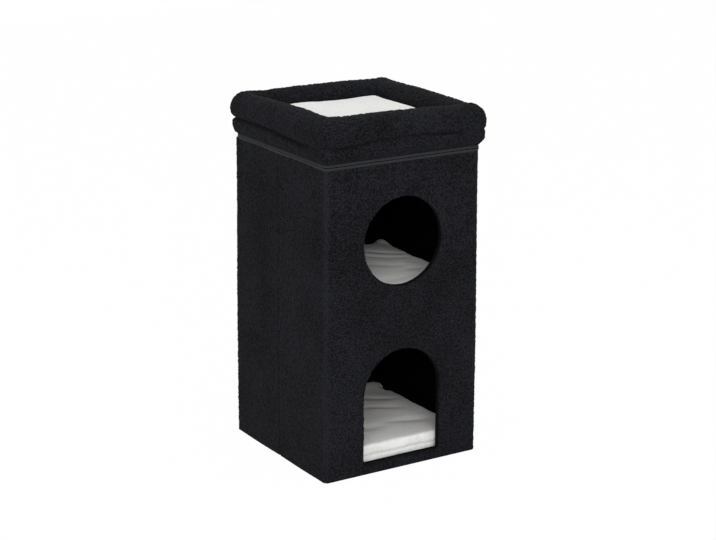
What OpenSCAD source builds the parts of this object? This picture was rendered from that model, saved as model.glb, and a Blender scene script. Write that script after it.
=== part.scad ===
// Folding plush cat condo with two caves, a padded top bed and a zipped lid.
// Millimetres. The origin is the middle of the footprint on the floor, +Z is up
// and the entrances face -Y.

/* [Walls] */
// Width over the plush
body_w = 380; // [340:1:440]
// Depth over the plush
body_d = 380; // [340:1:440]
// Height of the walls, up to the lid
body_h = 680; // [640:1:760]
// Outer radius of the upright corners
corner_r = 8; // [6:0.5:16]
// Thickness of the plush with its backing
plush_t = 5; // [3.5:0.5:6]
// Thickness of the fibreboard panels
board_t = 5; // [3:0.5:6]
// Thickness of the inner lining
lining_t = 1.5; // [1:0.1:2]
// Gap between a board's end and the inside of the next wall's boards
board_end = 4; // [1:0.5:10]
// Gap between the two half boards of a side, where the side folds
fold_gap = 10; // [6:1:20]
// Depth of the crease in the plush along the fold
crease_depth = 1.5; // [0.5:0.1:2.5]
// Thickness of the hem under the walls
hem_t = 2.5; // [1.5:0.1:4]
// Reach of the hem past the lining, which carries the floor
hem_reach = 12; // [8:0.5:20]
// Height of the binding along the top of the walls
bind_t = 3; // [2.5:0.1:5]

/* [Entrances] */
// Diameter of the round upper entrance
porthole_d = 190; // [150:1:200]
// Depth of the upper entrance's middle under the top of the walls
porthole_drop = 176; // [150:1:190]
// Width of the arched lower entrance
door_w = 190; // [150:1:200]
// Height at which the straight sides of the door turn into the arch
door_spring_z = 171; // [150:1:190]
// Height of the door sill
sill_z = 20; // [14:1:40]
// Thickness of the plush turned in round the entrances
turn_in_t = 4; // [2:0.5:6]

/* [Floor and shelf] */
// Thickness of the floor and shelf boards
deck_t = 6; // [4:0.5:9]
// Thickness of the felt over the boards
felt_t = 1.2; // [0.8:0.1:2]
// Gap between a board's felt and the lining
deck_gap = 2.5; // [1:0.1:5]
// Corner radius of the felt-covered boards
deck_r = 6; // [4:0.5:12]
// Height of the upper entrance's lower edge over the underside of the shelf
shelf_drop = 60; // [45:1:80]
// Depth of the two ledges under the shelf
ledge_d = 12; // [8:0.5:20]
// Height of the ledges
ledge_h = 14; // [8:0.5:25]
// Gap between a ledge's end and the side lining
ledge_end = 18.5; // [5:0.5:60]

/* [Cushions] */
// Gap between a cave cushion and the lining
cave_gap = 5.5; // [4:0.5:20]
// Thickness of a cave cushion in the middle
cave_pad_t = 44; // [30:1:48]
// Gap between the bed cushion and the bolster
bed_gap = 2; // [1:0.5:8]
// Thickness of the bed cushion in the middle
bed_pad_t = 44; // [30:1:50]
// Fall of a cushion's top from its middle to the middle of its edge
pad_crown = 2.5; // [2:0.5:10]
// Radius of a cushion's corners
pad_r = 12; // [10:1:50]

/* [Lid] */
// Thickness of the lining under the lid and round its edge
lid_lining_t = 1; // [0.6:0.1:2]
// Thickness of the lid board
lid_board_t = 6; // [4:0.5:9]
// Thickness of the foam on the lid board, under the cushion
lid_foam_t = 16; // [5:1:22]
// Height of the foam rails that carry the bolster
rail_h = 37; // [32:1:45]
// Radius of the bolster round the bed
bolster_r = 34.5; // [28:0.5:36]
// How far the bolster stands out past the walls
bolster_out = 17; // [12:0.5:20]
// Height of the bolster's middle over the rails
bolster_lift = 22.5; // [18:0.5:26]
// Radius of the skirt's bulge, in section
skirt_r = 25; // [22:0.5:40]

/* [Zip and hinge] */
// Thickness of the zip and hinge tape
tape_t = 0.8; // [0.5:0.1:1]
// Height of the tape that is sewn to the plush
tape_sewn = 1.6; // [1:0.1:3]
// Height and depth of the zip's bead of teeth
bead = 1.4; // [1:0.1:1.8]
// Gap between the two beads
bead_gap = 1.8; // [1.5:0.1:3]
// Depth of the recess behind the tape, which the slider runs in
slot_in = 3; // [2.5:0.1:3.5]
// Radius of the piping on the hinge line
piping_r = 1.2; // [0.8:0.1:1.2]
// Gap between the zip's ends and the back
zip_end = 14; // [8:0.5:30]
// Gap between the ends of the hinge tape and the round corners
hinge_end = 11; // [1:0.5:40]
// Length of the slider
slider_l = 13; // [10:0.5:16]
// Thickness of the slider's two plates
slider_plate = 1.2; // [0.8:0.1:1.4]
// Gap between the closed slider and the end of the zip
slider_end = 19.5; // [5:0.5:60]
// Length of the slider's wedge
wedge_l = 4; // [2:0.5:6]
// Thickness of the slider's lugs, which hold the pull's pin
lug_t = 1.2; // [0.8:0.1:1.6]
// Radius of the pull's pivot pin
pin_r = 0.8; // [0.6:0.05:1]
// Wall of the pull's barrel
barrel_wall = 0.7; // [0.5:0.05:1]
// Length of the pull tab
pull_l = 28; // [18:0.5:36]
// Thickness of the pull tab
pull_t = 1.4; // [1:0.1:1.6]
// How much lower the pull tab is than the slider, above and below
tab_inset = 0.5; // [0.3:0.1:1.5]
// Room between the lugs and the pull tab
neck_room = 1; // [0.5:0.1:2]

/* [Hidden] */
$fn = 96;
// The cushions' crowns are so flat that they need more steps
crown_fn = 480;
// Overshoot of a cut
eps = 1;

// Clearances of moving pieces, of the pull's pin and of what lies loose
run_gap = 0.3;
pin_gap = 0.05;
rest_gap = 0.3;

// Turns about Z that bring the front to each side
FRONT = 0;
RIGHT = 90;
BACK = 180;
LEFT = 270;

// Depths from the outer face of the plush
board_in = plush_t + board_t;
wall_t = board_in + lining_t;
hem_in = wall_t + hem_reach;

// Heights of the wall layers
board_z0 = hem_t;
board_z1 = body_h - bind_t;

// The lower bead stands over the walls by this much
bead_lift = 0.6;
// Middle of the zip, which is also the height of the lid's hinge line
zip_z = body_h + bead_lift + bead_gap / 2;
tape_h = bind_t + bead_lift + tape_sewn;
tape_foot = zip_z - bead_gap / 2 - tape_h;
tape_head = zip_z + bead_gap / 2 + tape_h;

// Heights and depths in the lid
skirt_t = slot_in + lid_lining_t;
bolster_in = bolster_r - bolster_out;
lid_board_z = body_h + lid_lining_t;
rail_z = lid_board_z + lid_board_t;
skirt_z = tape_head - tape_sewn;
bolster_foot = rail_z + rail_h;
bolster_z = bolster_foot + bolster_lift;
bed_pad_z = rail_z + lid_foam_t + rest_gap;

// Entrance, floor, shelf and cushions
porthole_z = body_h - porthole_drop;
shelf_z = porthole_z - porthole_d / 2 - shelf_drop;
deck_w = body_w - 2 * (wall_t + deck_gap);
deck_d = body_d - 2 * (wall_t + deck_gap);
deck_h = deck_t + felt_t;
floor_z = hem_t;
cave_w = body_w - 2 * (wall_t + cave_gap);
cave_d = body_d - 2 * (wall_t + cave_gap);
bed_in = bolster_in + bolster_r + bed_gap;
bed_w = body_w - 2 * bed_in;
bed_d = body_d - 2 * bed_in;

// Zip slider and pull, as distances outwards from the wall
plate_out = tape_t + bead + run_gap;
plate_in = (slot_in - slider_plate) / 2;
slider_h = 2 * (zip_z - board_z1 - run_gap);
barrel_r = pin_r + pin_gap + barrel_wall;
pivot_out = plate_out + slider_plate + barrel_r + run_gap;

// Length of a side, and the distance of its face from the middle
function side_l(turn) = turn % 180 == 0 ? body_w : body_d;
function side_reach(turn) = (turn % 180 == 0 ? body_d : body_w) / 2;

// Puts children on a side: x runs along it, y is the depth inwards from its face
module on_side(turn) {
    rotate(turn) translate([0, -side_reach(turn), 0]) children();
}

// Rectangle with round corners about the middle
module rounded(w, d, r) {
    square([w - 2 * r, d], center = true);
    square([w, d - 2 * r], center = true);
    for (x = [-1, 1], y = [-1, 1])
        translate([x * (w / 2 - r), y * (d / 2 - r)]) circle(r);
}

// Outline of the walls at a depth from their outer face
module outline(depth) {
    rounded(body_w - 2 * depth, body_d - 2 * depth, max(corner_r - depth, eps));
}

// Ring between two depths
module ring(outer, inner) {
    difference() {
        outline(outer);
        outline(inner);
    }
}

// Zone of one side, mitred at both ends through the footprint's corners
module mitre(turn, reach, depth) {
    l = side_l(turn) / 2;
    on_side(turn) polygon([
        [-l - reach, -reach], [l + reach, -reach], [l - depth, depth], [-l + depth, depth]
    ]);
}

// One side's share of the ring between two depths
module wall_part(turn, outer, inner) {
    intersection() {
        ring(outer, inner);
        mitre(turn, eps, corner_r + hem_in);
    }
}

// Round upper entrance, grown by a margin, through the front wall
module porthole(grow) {
    on_side(FRONT) translate([0, -eps, porthole_z]) rotate([-90, 0, 0])
        cylinder(d = porthole_d + 2 * grow, h = wall_t + 2 * eps);
}

// Arched lower entrance, grown by a margin, through the front wall
module doorway(grow) {
    r = door_w / 2 + grow;
    on_side(FRONT) translate([0, wall_t + eps, 0]) rotate([90, 0, 0])
        linear_extrude(wall_t + 2 * eps) {
            translate([-r, sill_z - grow]) square([2 * r, door_spring_z - sill_z + grow]);
            translate([0, door_spring_z]) circle(r);
        }
}

// Both entrances
module entrances(grow) {
    porthole(grow);
    doorway(grow);
}

// Plush skin of one side
module plush(turn) {
    linear_extrude(board_z1) wall_part(turn, 0, plush_t);
}

// Plush skin of the front, with the pile turned in round both entrances
module plush_front() {
    color("#26262a") difference() {
        union() {
            plush(FRONT);
            intersection() {
                entrances(turn_in_t);
                linear_extrude(board_z1) wall_part(FRONT, 0, wall_t);
            }
        }
        entrances(0);
    }
}

module plush_back() {
    color("#26262a") plush(BACK);
}

// Plush skin of a side that folds, creased down its middle
module plush_side(turn) {
    color("#26262a") difference() {
        plush(turn);
        on_side(turn) translate([0, 0, -eps]) linear_extrude(body_h)
            rotate(45) square(crease_depth * sqrt(2), center = true);
    }
}

// Whole board of the front or the back
module board(turn) {
    l = side_l(turn) - 2 * (board_in + board_end);
    on_side(turn) translate([-l / 2, plush_t, board_z0]) cube([l, board_t, board_z1 - board_z0]);
}

module board_front() {
    color("#a98d66") difference() {
        board(FRONT);
        entrances(turn_in_t);
    }
}

module board_back() {
    color("#a98d66") board(BACK);
}

// Half board of a side that folds: end is 1 or -1 along the side
module half_board(turn, end) {
    l = (side_l(turn) - fold_gap) / 2 - board_in - board_end;
    color("#a98d66") on_side(turn)
        translate([end * (fold_gap + l) / 2 - l / 2, plush_t, board_z0])
        cube([l, board_t, board_z1 - board_z0]);
}

// Inner lining of one side
module lining(turn) {
    color("#151517") translate([0, 0, board_z0]) linear_extrude(board_z1 - board_z0)
        wall_part(turn, board_in, wall_t);
}

module lining_front() {
    color("#151517") difference() {
        lining(FRONT);
        entrances(turn_in_t);
    }
}

// Flat hem under one wall, reaching in under the floor
module hem(turn) {
    color("#1d1d20") linear_extrude(hem_t) intersection() {
        difference() {
            outline(plush_t);
            square([body_w - 2 * hem_in, body_d - 2 * hem_in], center = true);
        }
        mitre(turn, eps, corner_r + hem_in);
    }
}

// Binding over the top of one wall, set back behind the tape
module binding(turn) {
    color("#1d1d20") translate([0, 0, board_z1]) linear_extrude(bind_t)
        wall_part(turn, slot_in, wall_t);
}

// Ledge under the shelf
module ledge(turn) {
    l = side_l(turn) - 2 * (wall_t + ledge_end);
    color("#b79a70") on_side(turn) translate([-l / 2, wall_t, shelf_z - ledge_h])
        cube([l, ledge_d, ledge_h]);
}

// Run of the zip round the left, front and right sides, between two depths
module zip_run(outer, inner) {
    intersection() {
        ring(outer, inner);
        translate([-body_w, -body_d]) square([2 * body_w, 1.5 * body_d - zip_end]);
    }
}

// One half of the zip: its tape from foot, and its bead of teeth from bead_foot
module zip_half(foot, bead_foot) {
    color("#4a4b4f") {
        translate([0, 0, foot]) linear_extrude(tape_h) zip_run(-tape_t, 0);
        translate([0, 0, bead_foot]) linear_extrude(bead) zip_run(-tape_t - bead, -tape_t);
    }
}

module zip_lower() {
    zip_half(tape_foot, tape_foot + tape_h - bead);
}

module zip_upper() {
    zip_half(tape_head - tape_h, tape_head - tape_h);
}

// Leaf of the hinge tape along the back, between two heights
module hinge_leaf(foot, head) {
    l = body_w - 2 * (corner_r + hinge_end);
    on_side(BACK) translate([-l / 2, -tape_t, foot]) cube([l, tape_t, head - foot]);
}

// Lower leaf, with the piping that the lid turns on
module hinge_lower() {
    l = body_w - 2 * (corner_r + hinge_end);
    color("#4a4b4f") {
        hinge_leaf(tape_foot, zip_z);
        on_side(BACK) translate([-l / 2, 0, zip_z]) rotate([0, 90, 0]) cylinder(r = piping_r, h = l);
    }
}

module hinge_upper() {
    color("#4a4b4f") hinge_leaf(zip_z + piping_r + run_gap, tape_head);
}

// Outline of the floor and the shelf, less a margin
module deck_outline(margin) {
    rounded(deck_w - 2 * margin, deck_d - 2 * margin, deck_r - margin);
}

// Board of the floor or the shelf, with its underside at z
module deck_board(z) {
    color("#a98d66") translate([0, 0, z]) linear_extrude(deck_t) deck_outline(felt_t);
}

// Felt over the top and edges of such a board
module deck_felt(z) {
    color("#1a1a1c") difference() {
        translate([0, 0, z]) linear_extrude(deck_h) deck_outline(0);
        translate([0, 0, z - eps]) linear_extrude(deck_t + eps) deck_outline(felt_t);
    }
}

// Loose cushion with a crowned top, lying at z
module cushion(z, w, d, t) {
    half = max(w, d) / 2;
    crown_r = (half * half + pad_crown * pad_crown) / (2 * pad_crown);
    color("#e4e2da") translate([0, 0, z]) intersection() {
        linear_extrude(t) rounded(w, d, pad_r);
        translate([0, 0, t - crown_r]) sphere(crown_r, $fn = crown_fn);
    }
}

// Cushion of a cave, on the board whose underside is at z
module cave_cushion(z) {
    cushion(z + deck_h + rest_gap, cave_w, cave_d, cave_pad_t);
}

module bed_cushion() {
    cushion(bed_pad_z, bed_w, bed_d, bed_pad_t);
}

// Lining under the lid board, turned up round its edge to the skirt
module lid_lining() {
    color("#151517") difference() {
        translate([0, 0, body_h]) linear_extrude(skirt_z - body_h) outline(slot_in);
        translate([0, 0, lid_board_z]) linear_extrude(skirt_z) outline(skirt_t);
    }
}

module lid_board() {
    color("#a98d66") translate([0, 0, lid_board_z]) linear_extrude(lid_board_t) outline(skirt_t);
}

// Foam on the lid board, inside the rails
module lid_foam() {
    color("#d9d6cc") translate([0, 0, rail_z]) linear_extrude(lid_foam_t) rounded(bed_w, bed_d, pad_r);
}

// Run of a profile along one side of the lid, mitred at the corners. The profile's x is
// the distance outwards from the middle of the bolster, and it turns about the walls' corners.
module lid_run(turn) {
    l = side_l(turn) - 2 * corner_r;
    intersection() {
        on_side(turn) {
            translate([0, bolster_in, 0]) rotate([90, 0, -90])
                linear_extrude(l, center = true) children();
            for (end = [-1, 1])
                translate([end * l / 2, corner_r, 0]) rotate(225 + end * 45)
                    rotate_extrude(angle = 90) intersection() {
                        translate([corner_r - bolster_in, 0]) children();
                        square([body_w, 2 * body_h]);
                    }
        }
        linear_extrude(2 * body_h) mitre(turn, bolster_r, bed_in);
    }
}

// Foam rail along one side of the lid
module rail(turn) {
    color("#d9d6cc") lid_run(turn) translate([-bolster_r, rail_z])
        square([bolster_r + bolster_in - skirt_t, rail_h]);
}

// Bolster along one side of the bed, flat where it lies on the rail
module bolster(turn) {
    color("#28282c") lid_run(turn) intersection() {
        translate([0, bolster_z]) circle(bolster_r);
        translate([-bolster_r, bolster_foot]) square(2 * bolster_r);
    }
}

// Skirt along one side of the lid: its fabric, and the plush that bulges from the zip to the
// edge of the bolster's foot
module skirt(turn) {
    rise = bolster_foot - tape_head;
    reach = sqrt(bolster_r * bolster_r - bolster_lift * bolster_lift) - bolster_in;
    chord = norm([reach, rise]);
    sink = sqrt(skirt_r * skirt_r - chord * chord / 4) / chord;
    color("#26262a") lid_run(turn) {
        translate([bolster_in - skirt_t, skirt_z]) square([skirt_t, bolster_foot - skirt_z]);
        intersection() {
            translate([bolster_in + reach / 2 - sink * rise, tape_head + rise / 2 + sink * reach])
                circle(skirt_r);
            translate([bolster_in, tape_head]) square([skirt_r, rise]);
        }
    }
}

// Place of the closed slider, on the right side: x runs along the zip, y inwards
module at_slider() {
    park = body_d / 2 - zip_end - slider_end - slider_l / 2;
    on_side(RIGHT) translate([park, 0, zip_z]) children();
}

// Box about the zip's middle height: from x0 along the zip and y0 inwards
module zip_block(x0, y0, l, t, h) {
    translate([x0, y0, -h / 2]) cube([l, t, h]);
}

// Zip slider: two plates round the beads, the wedge between them, and the lugs and pin of the pull
module zip_slider() {
    wedge_h = bead_gap - 2 * run_gap;
    lug_out = pivot_out + barrel_r;
    plate_back = plate_out + slider_plate;
    color("#5b5c60") at_slider() {
        zip_block(-slider_l / 2, -plate_back, slider_l, slider_plate, slider_h);
        zip_block(-slider_l / 2, plate_in, slider_l, slider_plate, slider_h);
        zip_block(slider_l / 2 - wedge_l, -plate_out, wedge_l, plate_out + plate_in, wedge_h);
        for (end = [-1, 1]) translate([0, 0, end * (slider_h - lug_t) / 2])
            zip_block(-barrel_r, -lug_out, 2 * barrel_r, lug_out - plate_back, lug_t);
        translate([0, -pivot_out, -slider_h / 2]) cylinder(r = pin_r, h = slider_h);
    }
}

// Pull tab with an eye, turning on the slider's pin
module zip_pull() {
    barrel_h = slider_h - 2 * (lug_t + run_gap);
    tab_h = slider_h - 2 * tab_inset;
    tab_end = -pull_l + tab_h / 2;
    neck_l = barrel_r + run_gap + neck_room;
    color("#5b5c60") at_slider() translate([0, -pivot_out, 0]) difference() {
        union() {
            translate([0, 0, -barrel_h / 2]) cylinder(r = barrel_r, h = barrel_h);
            zip_block(-neck_l - eps, -pull_t / 2, neck_l + eps, pull_t, barrel_h);
            zip_block(tab_end, -pull_t / 2, -neck_l - tab_end, pull_t, tab_h);
            translate([tab_end, pull_t / 2, 0]) rotate([90, 0, 0]) cylinder(d = tab_h, h = pull_t);
        }
        translate([0, 0, -barrel_h]) cylinder(r = pin_r + pin_gap, h = 2 * barrel_h);
        translate([tab_end, pull_t, 0]) rotate([90, 0, 0]) cylinder(d = tab_h / 2, h = 2 * pull_t);
    }
}

plush_front();
plush_back();
plush_side(LEFT);  // plush_left
plush_side(RIGHT);  // plush_right
board_front();
board_back();
half_board(LEFT, 1);  // board_left_front
half_board(LEFT, -1);  // board_left_rear
half_board(RIGHT, -1);  // board_right_front
half_board(RIGHT, 1);  // board_right_rear
lining_front();
lining(BACK);  // lining_back
lining(LEFT);  // lining_left
lining(RIGHT);  // lining_right
hem(FRONT);  // hem_front
hem(BACK);  // hem_back
hem(LEFT);  // hem_left
hem(RIGHT);  // hem_right
binding(FRONT);  // binding_front
binding(BACK);  // binding_back
binding(LEFT);  // binding_left
binding(RIGHT);  // binding_right
ledge(FRONT);  // ledge_front
ledge(BACK);  // ledge_back
zip_lower();
hinge_lower();
deck_board(floor_z);  // floor_board
deck_felt(floor_z);  // floor_felt
cave_cushion(floor_z);  // floor_cushion
deck_board(shelf_z);  // shelf_board
deck_felt(shelf_z);  // shelf_felt
cave_cushion(shelf_z);  // shelf_cushion
lid_lining();
lid_board();
lid_foam();
rail(FRONT);  // rail_front
rail(BACK);  // rail_back
rail(LEFT);  // rail_left
rail(RIGHT);  // rail_right
skirt(FRONT);  // skirt_front
skirt(BACK);  // skirt_back
skirt(LEFT);  // skirt_left
skirt(RIGHT);  // skirt_right
bolster(FRONT);  // bolster_front
bolster(BACK);  // bolster_back
bolster(LEFT);  // bolster_left
bolster(RIGHT);  // bolster_right
zip_upper();
hinge_upper();
bed_cushion();
zip_slider();
zip_pull();
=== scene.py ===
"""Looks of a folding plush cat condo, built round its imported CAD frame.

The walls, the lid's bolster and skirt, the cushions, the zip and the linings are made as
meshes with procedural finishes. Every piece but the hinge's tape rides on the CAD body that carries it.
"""

import logging
import math
from abc import ABC, abstractmethod
from dataclasses import dataclass, field
from enum import Enum
from typing import Callable, Iterable, Sequence

import bmesh
import bpy
import numpy as np
from mathutils import Matrix, Vector


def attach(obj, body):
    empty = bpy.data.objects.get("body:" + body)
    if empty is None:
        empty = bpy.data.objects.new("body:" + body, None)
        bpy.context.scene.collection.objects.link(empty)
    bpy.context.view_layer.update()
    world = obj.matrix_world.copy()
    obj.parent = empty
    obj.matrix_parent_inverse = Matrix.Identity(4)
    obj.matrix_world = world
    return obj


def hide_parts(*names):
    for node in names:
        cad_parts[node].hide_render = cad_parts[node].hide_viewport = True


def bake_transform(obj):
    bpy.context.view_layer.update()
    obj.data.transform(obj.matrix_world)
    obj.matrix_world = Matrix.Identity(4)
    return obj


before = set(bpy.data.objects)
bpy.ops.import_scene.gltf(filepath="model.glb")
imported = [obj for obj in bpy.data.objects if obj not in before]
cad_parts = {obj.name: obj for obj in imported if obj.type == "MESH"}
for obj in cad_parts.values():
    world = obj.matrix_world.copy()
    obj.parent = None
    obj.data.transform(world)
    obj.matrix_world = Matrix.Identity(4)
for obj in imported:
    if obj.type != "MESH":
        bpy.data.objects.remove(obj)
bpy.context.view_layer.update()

LOG = logging.getLogger("condo")
MM = 0.001
WELD = 0.02 * MM
FINE_WELD = 0.001 * MM
TOUCH = 0.1 * MM
SEED_STEPS = (0.37, 0.53, 0.71)
FLAT_ANGLE = math.radians(1)
SHARP_ANGLE = math.radians(35)
RIPPLE_PEAK = 1.4
SWELL_FRAMES = 20
# Sockets of a Mix node for colours and of a Wave Texture, by number because names repeat
MIX_SHARE, MIX_DARK, MIX_LIGHT, MIX_RESULT = 0, 6, 7, 2
WAVE_SHARE = 1
Colour = tuple[float, float, float]
Points = np.ndarray


class Side(Enum):
    """The four sides, by the turn about Z that brings the front to each."""

    FRONT = 0
    RIGHT = 90
    BACK = 180
    LEFT = 270

    @property
    def word(self) -> str:
        """The side's name as the CAD nodes write it."""
        return self.name.lower()

    @property
    def folds(self) -> bool:
        """Whether the side is creased down its middle, to fold."""
        return self in (Side.LEFT, Side.RIGHT)

    def place(self, local: Points) -> Points:
        """Turns points from the front to this side.

        Args:
            local: Points of the front, one row each.

        Returns:
            The turned points.
        """
        turn = math.radians(self.value)
        spin = np.array([[math.cos(turn), -math.sin(turn), 0],
                         [math.sin(turn), math.cos(turn), 0],
                         [0, 0, 1]])
        return local @ spin.T


class Body(Enum):
    """CAD bodies that the pieces ride on."""

    CARCASS = "carcass"
    LID = "lid"
    BED_CUSHION = "bed_cushion"
    SHELF = "shelf"
    SHELF_CUSHION = "shelf_cushion"
    FLOOR = "floor"
    FLOOR_CUSHION = "floor_cushion"
    SLIDER = "zip_slider"
    PULL = "zip_pull"


class Sketch:
    """Adds and links nodes in one shader or geometry tree."""

    def __init__(self, tree: bpy.types.NodeTree) -> None:
        """Keeps the tree that the nodes go into."""
        self.tree = tree

    def add(self, kind: str, *inputs: object, **settings: object) -> bpy.types.Node:
        """Adds a node.

        Args:
            kind: The node's type.
            inputs: Values or sockets for its inputs in order, None to leave one.
            settings: Properties of the node.

        Returns:
            The node.
        """
        node = self.tree.nodes.new(kind)
        for name, value in settings.items():
            setattr(node, name, value)
        for place, value in enumerate(inputs):
            self.feed(node.inputs[place], value)
        return node

    def wired(self, kind: str, **inputs: object) -> bpy.types.Node:
        """Adds a node and feeds its inputs by name.

        Args:
            kind: The node's type.
            inputs: Values or sockets for its inputs, None to leave one.

        Returns:
            The node.
        """
        node = self.tree.nodes.new(kind)
        for name, value in inputs.items():
            self.feed(node.inputs[name], value)
        return node

    def feed(self, socket: bpy.types.NodeSocket, value: object) -> None:
        """Links a socket to an input, or sets its value.

        Args:
            socket: The input.
            value: The socket or value that it takes, None to leave it.
        """
        if isinstance(value, bpy.types.NodeSocket):
            self.tree.links.new(value, socket)
        elif value is not None:
            socket.default_value = value

    def math(self, kind: str, *values: object) -> bpy.types.NodeSocket:
        """A Math node's result."""
        return self.add("ShaderNodeMath", *values, operation=kind).outputs[0]

    def vector(self, kind: str, *values: object) -> bpy.types.NodeSocket:
        """A Vector Math node's vector result."""
        return self.add("ShaderNodeVectorMath", *values, operation=kind).outputs[0]

    def scaled(self, value: object, size: object) -> bpy.types.NodeSocket:
        """A vector times a number."""
        return self.vector("SCALE", value, None, None, size)

    def noise(self, where: object, scale: object, detail: float = 2.0,
              rough: float = 0.5) -> bpy.types.NodeSocket:
        """Noise texture from 0 to 1 at a vector."""
        return self.wired("ShaderNodeTexNoise", Vector=where, Scale=scale, Detail=detail,
                          Roughness=rough).outputs[0]

    def cells(self, where: object, scale: object, spread: float = 1.0) -> bpy.types.NodeSocket:
        """Distance to the nearest point of a Voronoi texture."""
        node = self.wired("ShaderNodeTexVoronoi", Vector=where, Scale=scale, Randomness=spread)
        return node.outputs["Distance"]

    def waves(self, where: object, *shape: float, **settings: str) -> bpy.types.NodeSocket:
        """Wave texture from 0 to 1 at a vector, by its scale, distortion and detail."""
        return self.add("ShaderNodeTexWave", where, *shape, **settings).outputs[WAVE_SHARE]

    def ramp(self, value: object, low: float, high: float) -> bpy.types.NodeSocket:
        """A value spread smoothly from 0 at low to 1 at high."""
        node = self.add("ShaderNodeMapRange", value, low, high, interpolation_type="SMOOTHSTEP")
        return node.outputs[0]

    def seen(self) -> bpy.types.NodeSocket:
        """Tells rays that show the background from those that light the object.

        Returns:
            1 for the camera's rays and for those in reflections and through glass, 0 for others.
        """
        rays = self.add("ShaderNodeLightPath").outputs
        passed_on = self.math("MAXIMUM", rays["Is Glossy Ray"], rays["Is Transmission Ray"])
        return self.math("MAXIMUM", rays["Is Camera Ray"], passed_on)


class Paint(Sketch):
    """Builds one Principled material."""

    def __init__(self, name: str, roughness: float, specular: float) -> None:
        """Makes the material with its constant values set on the shader's sockets.

        Args:
            name: The material's name.
            roughness: Its roughness.
            specular: Its specular level.
        """
        self.material = bpy.data.materials.new(name)
        self.material.use_nodes = True
        super().__init__(self.material.node_tree)
        self.shader = self.tree.nodes["Principled BSDF"]
        self.shader.inputs["Roughness"].default_value = roughness
        self.shader.inputs["Specular IOR Level"].default_value = specular
        self.place = self.add("ShaderNodeTexCoord").outputs["Object"]

    def stretched(self, scale: tuple[float, float, float]) -> bpy.types.NodeSocket:
        """Object coordinates scaled along each axis."""
        return self.vector("MULTIPLY", self.place, scale)

    def colour(self, share: bpy.types.NodeSocket, dark: Colour, light: Colour) -> None:
        """Sets the base colour.

        Args:
            share: From 0 for dark to 1 for light.
            dark: The darkest colour.
            light: The lightest colour.
        """
        node = self.add("ShaderNodeMix", data_type="RGBA")
        for socket, value in ((MIX_SHARE, share), (MIX_DARK, (*dark, 1)), (MIX_LIGHT, (*light, 1))):
            self.feed(node.inputs[socket], value)
        self.feed(self.shader.inputs["Base Color"], node.outputs[MIX_RESULT])

    def rough(self, share: bpy.types.NodeSocket, low: float, high: float) -> None:
        """Roughness from low to high by a share from 0 to 1."""
        span = self.math("MULTIPLY_ADD", share, high - low, low)
        self.feed(self.shader.inputs["Roughness"], span)

    def bump(self, *heights: tuple[bpy.types.NodeSocket, float, float]) -> None:
        """Bumps laid on each other.

        Args:
            heights: For each, its height, strength and distance in metres.
        """
        normal = None
        for height, strength, distance in heights:
            node = self.wired("ShaderNodeBump", Strength=strength, Distance=distance, Height=height,
                              Normal=normal)
            normal = node.outputs[0]
        self.feed(self.shader.inputs["Normal"], normal)

    def sheen(self, weight: float, roughness: float, tint: Colour) -> None:
        """Gives a pile's sheen, the same all over.

        Args:
            weight: How strong it is.
            roughness: How soft it is.
            tint: Its colour.
        """
        self.shader.inputs["Sheen Weight"].default_value = weight
        self.shader.inputs["Sheen Roughness"].default_value = roughness
        self.shader.inputs["Sheen Tint"].default_value = (*tint, 1)


@dataclass(frozen=True)
class Finish(ABC):
    """A finish with the record's material slot it stands for."""

    name: str
    slot: str
    dark: Colour
    light: Colour
    roughness: float = 0.9
    specular: float = 0.2

    def material(self) -> bpy.types.Material:
        """Finds the finish's material, or makes it.

        Returns:
            The material.
        """
        found = bpy.data.materials.get(self.name)
        if found is None:
            paint = Paint(self.name, self.roughness, self.specular)
            self.dress(paint)
            found = paint.material
        return found

    @abstractmethod
    def dress(self, paint: Paint) -> None:
        """Adds the finish's own nodes to the material."""


@dataclass(frozen=True)
class Plush(Finish):
    """Nubby teddy pile, or the short pile of a cushion."""

    nub: float = 5 * MM
    sheen: float = 0.1
    relief: float = 0.6
    # How much the painted highlight along the corner seams lightens the plush, partly for pile stretched
    # there
    wear: float = 0.16

    def dress(self, paint: Paint) -> None:
        """Nubs with lighter tips, fine fibres, brushed patches, and a painted highlight along the edges by a
        vertex weight, partly standing for pile stretched over the corners.

        Args:
            paint: The material being built.
        """
        drift = paint.noise(paint.place, 1 / (3 * self.nub), 2)
        shift = paint.add("ShaderNodeCombineXYZ", drift, drift, drift).outputs[0]
        warped = paint.vector("MULTIPLY_ADD", shift, (self.nub,) * 3, paint.place)
        nubs = paint.ramp(paint.cells(warped, 1 / self.nub), 0.75, 0.05)
        fibres = paint.noise(paint.place, 1 / (0.28 * self.nub), 3, 0.65)
        brushed = paint.noise(paint.place, 9, 3)
        mixed = paint.math("MULTIPLY_ADD", nubs, 0.45, paint.math("MULTIPLY", fibres, 0.75))
        # Painted highlight: a vertex weight lightens the plush along the corner seams, partly for pile
        # stretched over the corners
        worn = paint.add("ShaderNodeAttribute", attribute_name="worn").outputs["Fac"]
        share = paint.math("MULTIPLY", mixed, paint.math("MULTIPLY_ADD", brushed, 0.7, 0.55))
        tone = paint.ramp(paint.math("MULTIPLY_ADD", worn, self.wear, share), 0.24, 0.72)
        paint.colour(tone, self.dark, self.light)
        paint.rough(fibres, self.roughness - 0.1, self.roughness)
        paint.bump((fibres, self.relief, 0.25 * self.nub), (nubs, 0.5 * self.relief, 0.2 * self.nub))
        paint.sheen(self.sheen, 0.5, self.light)


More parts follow.
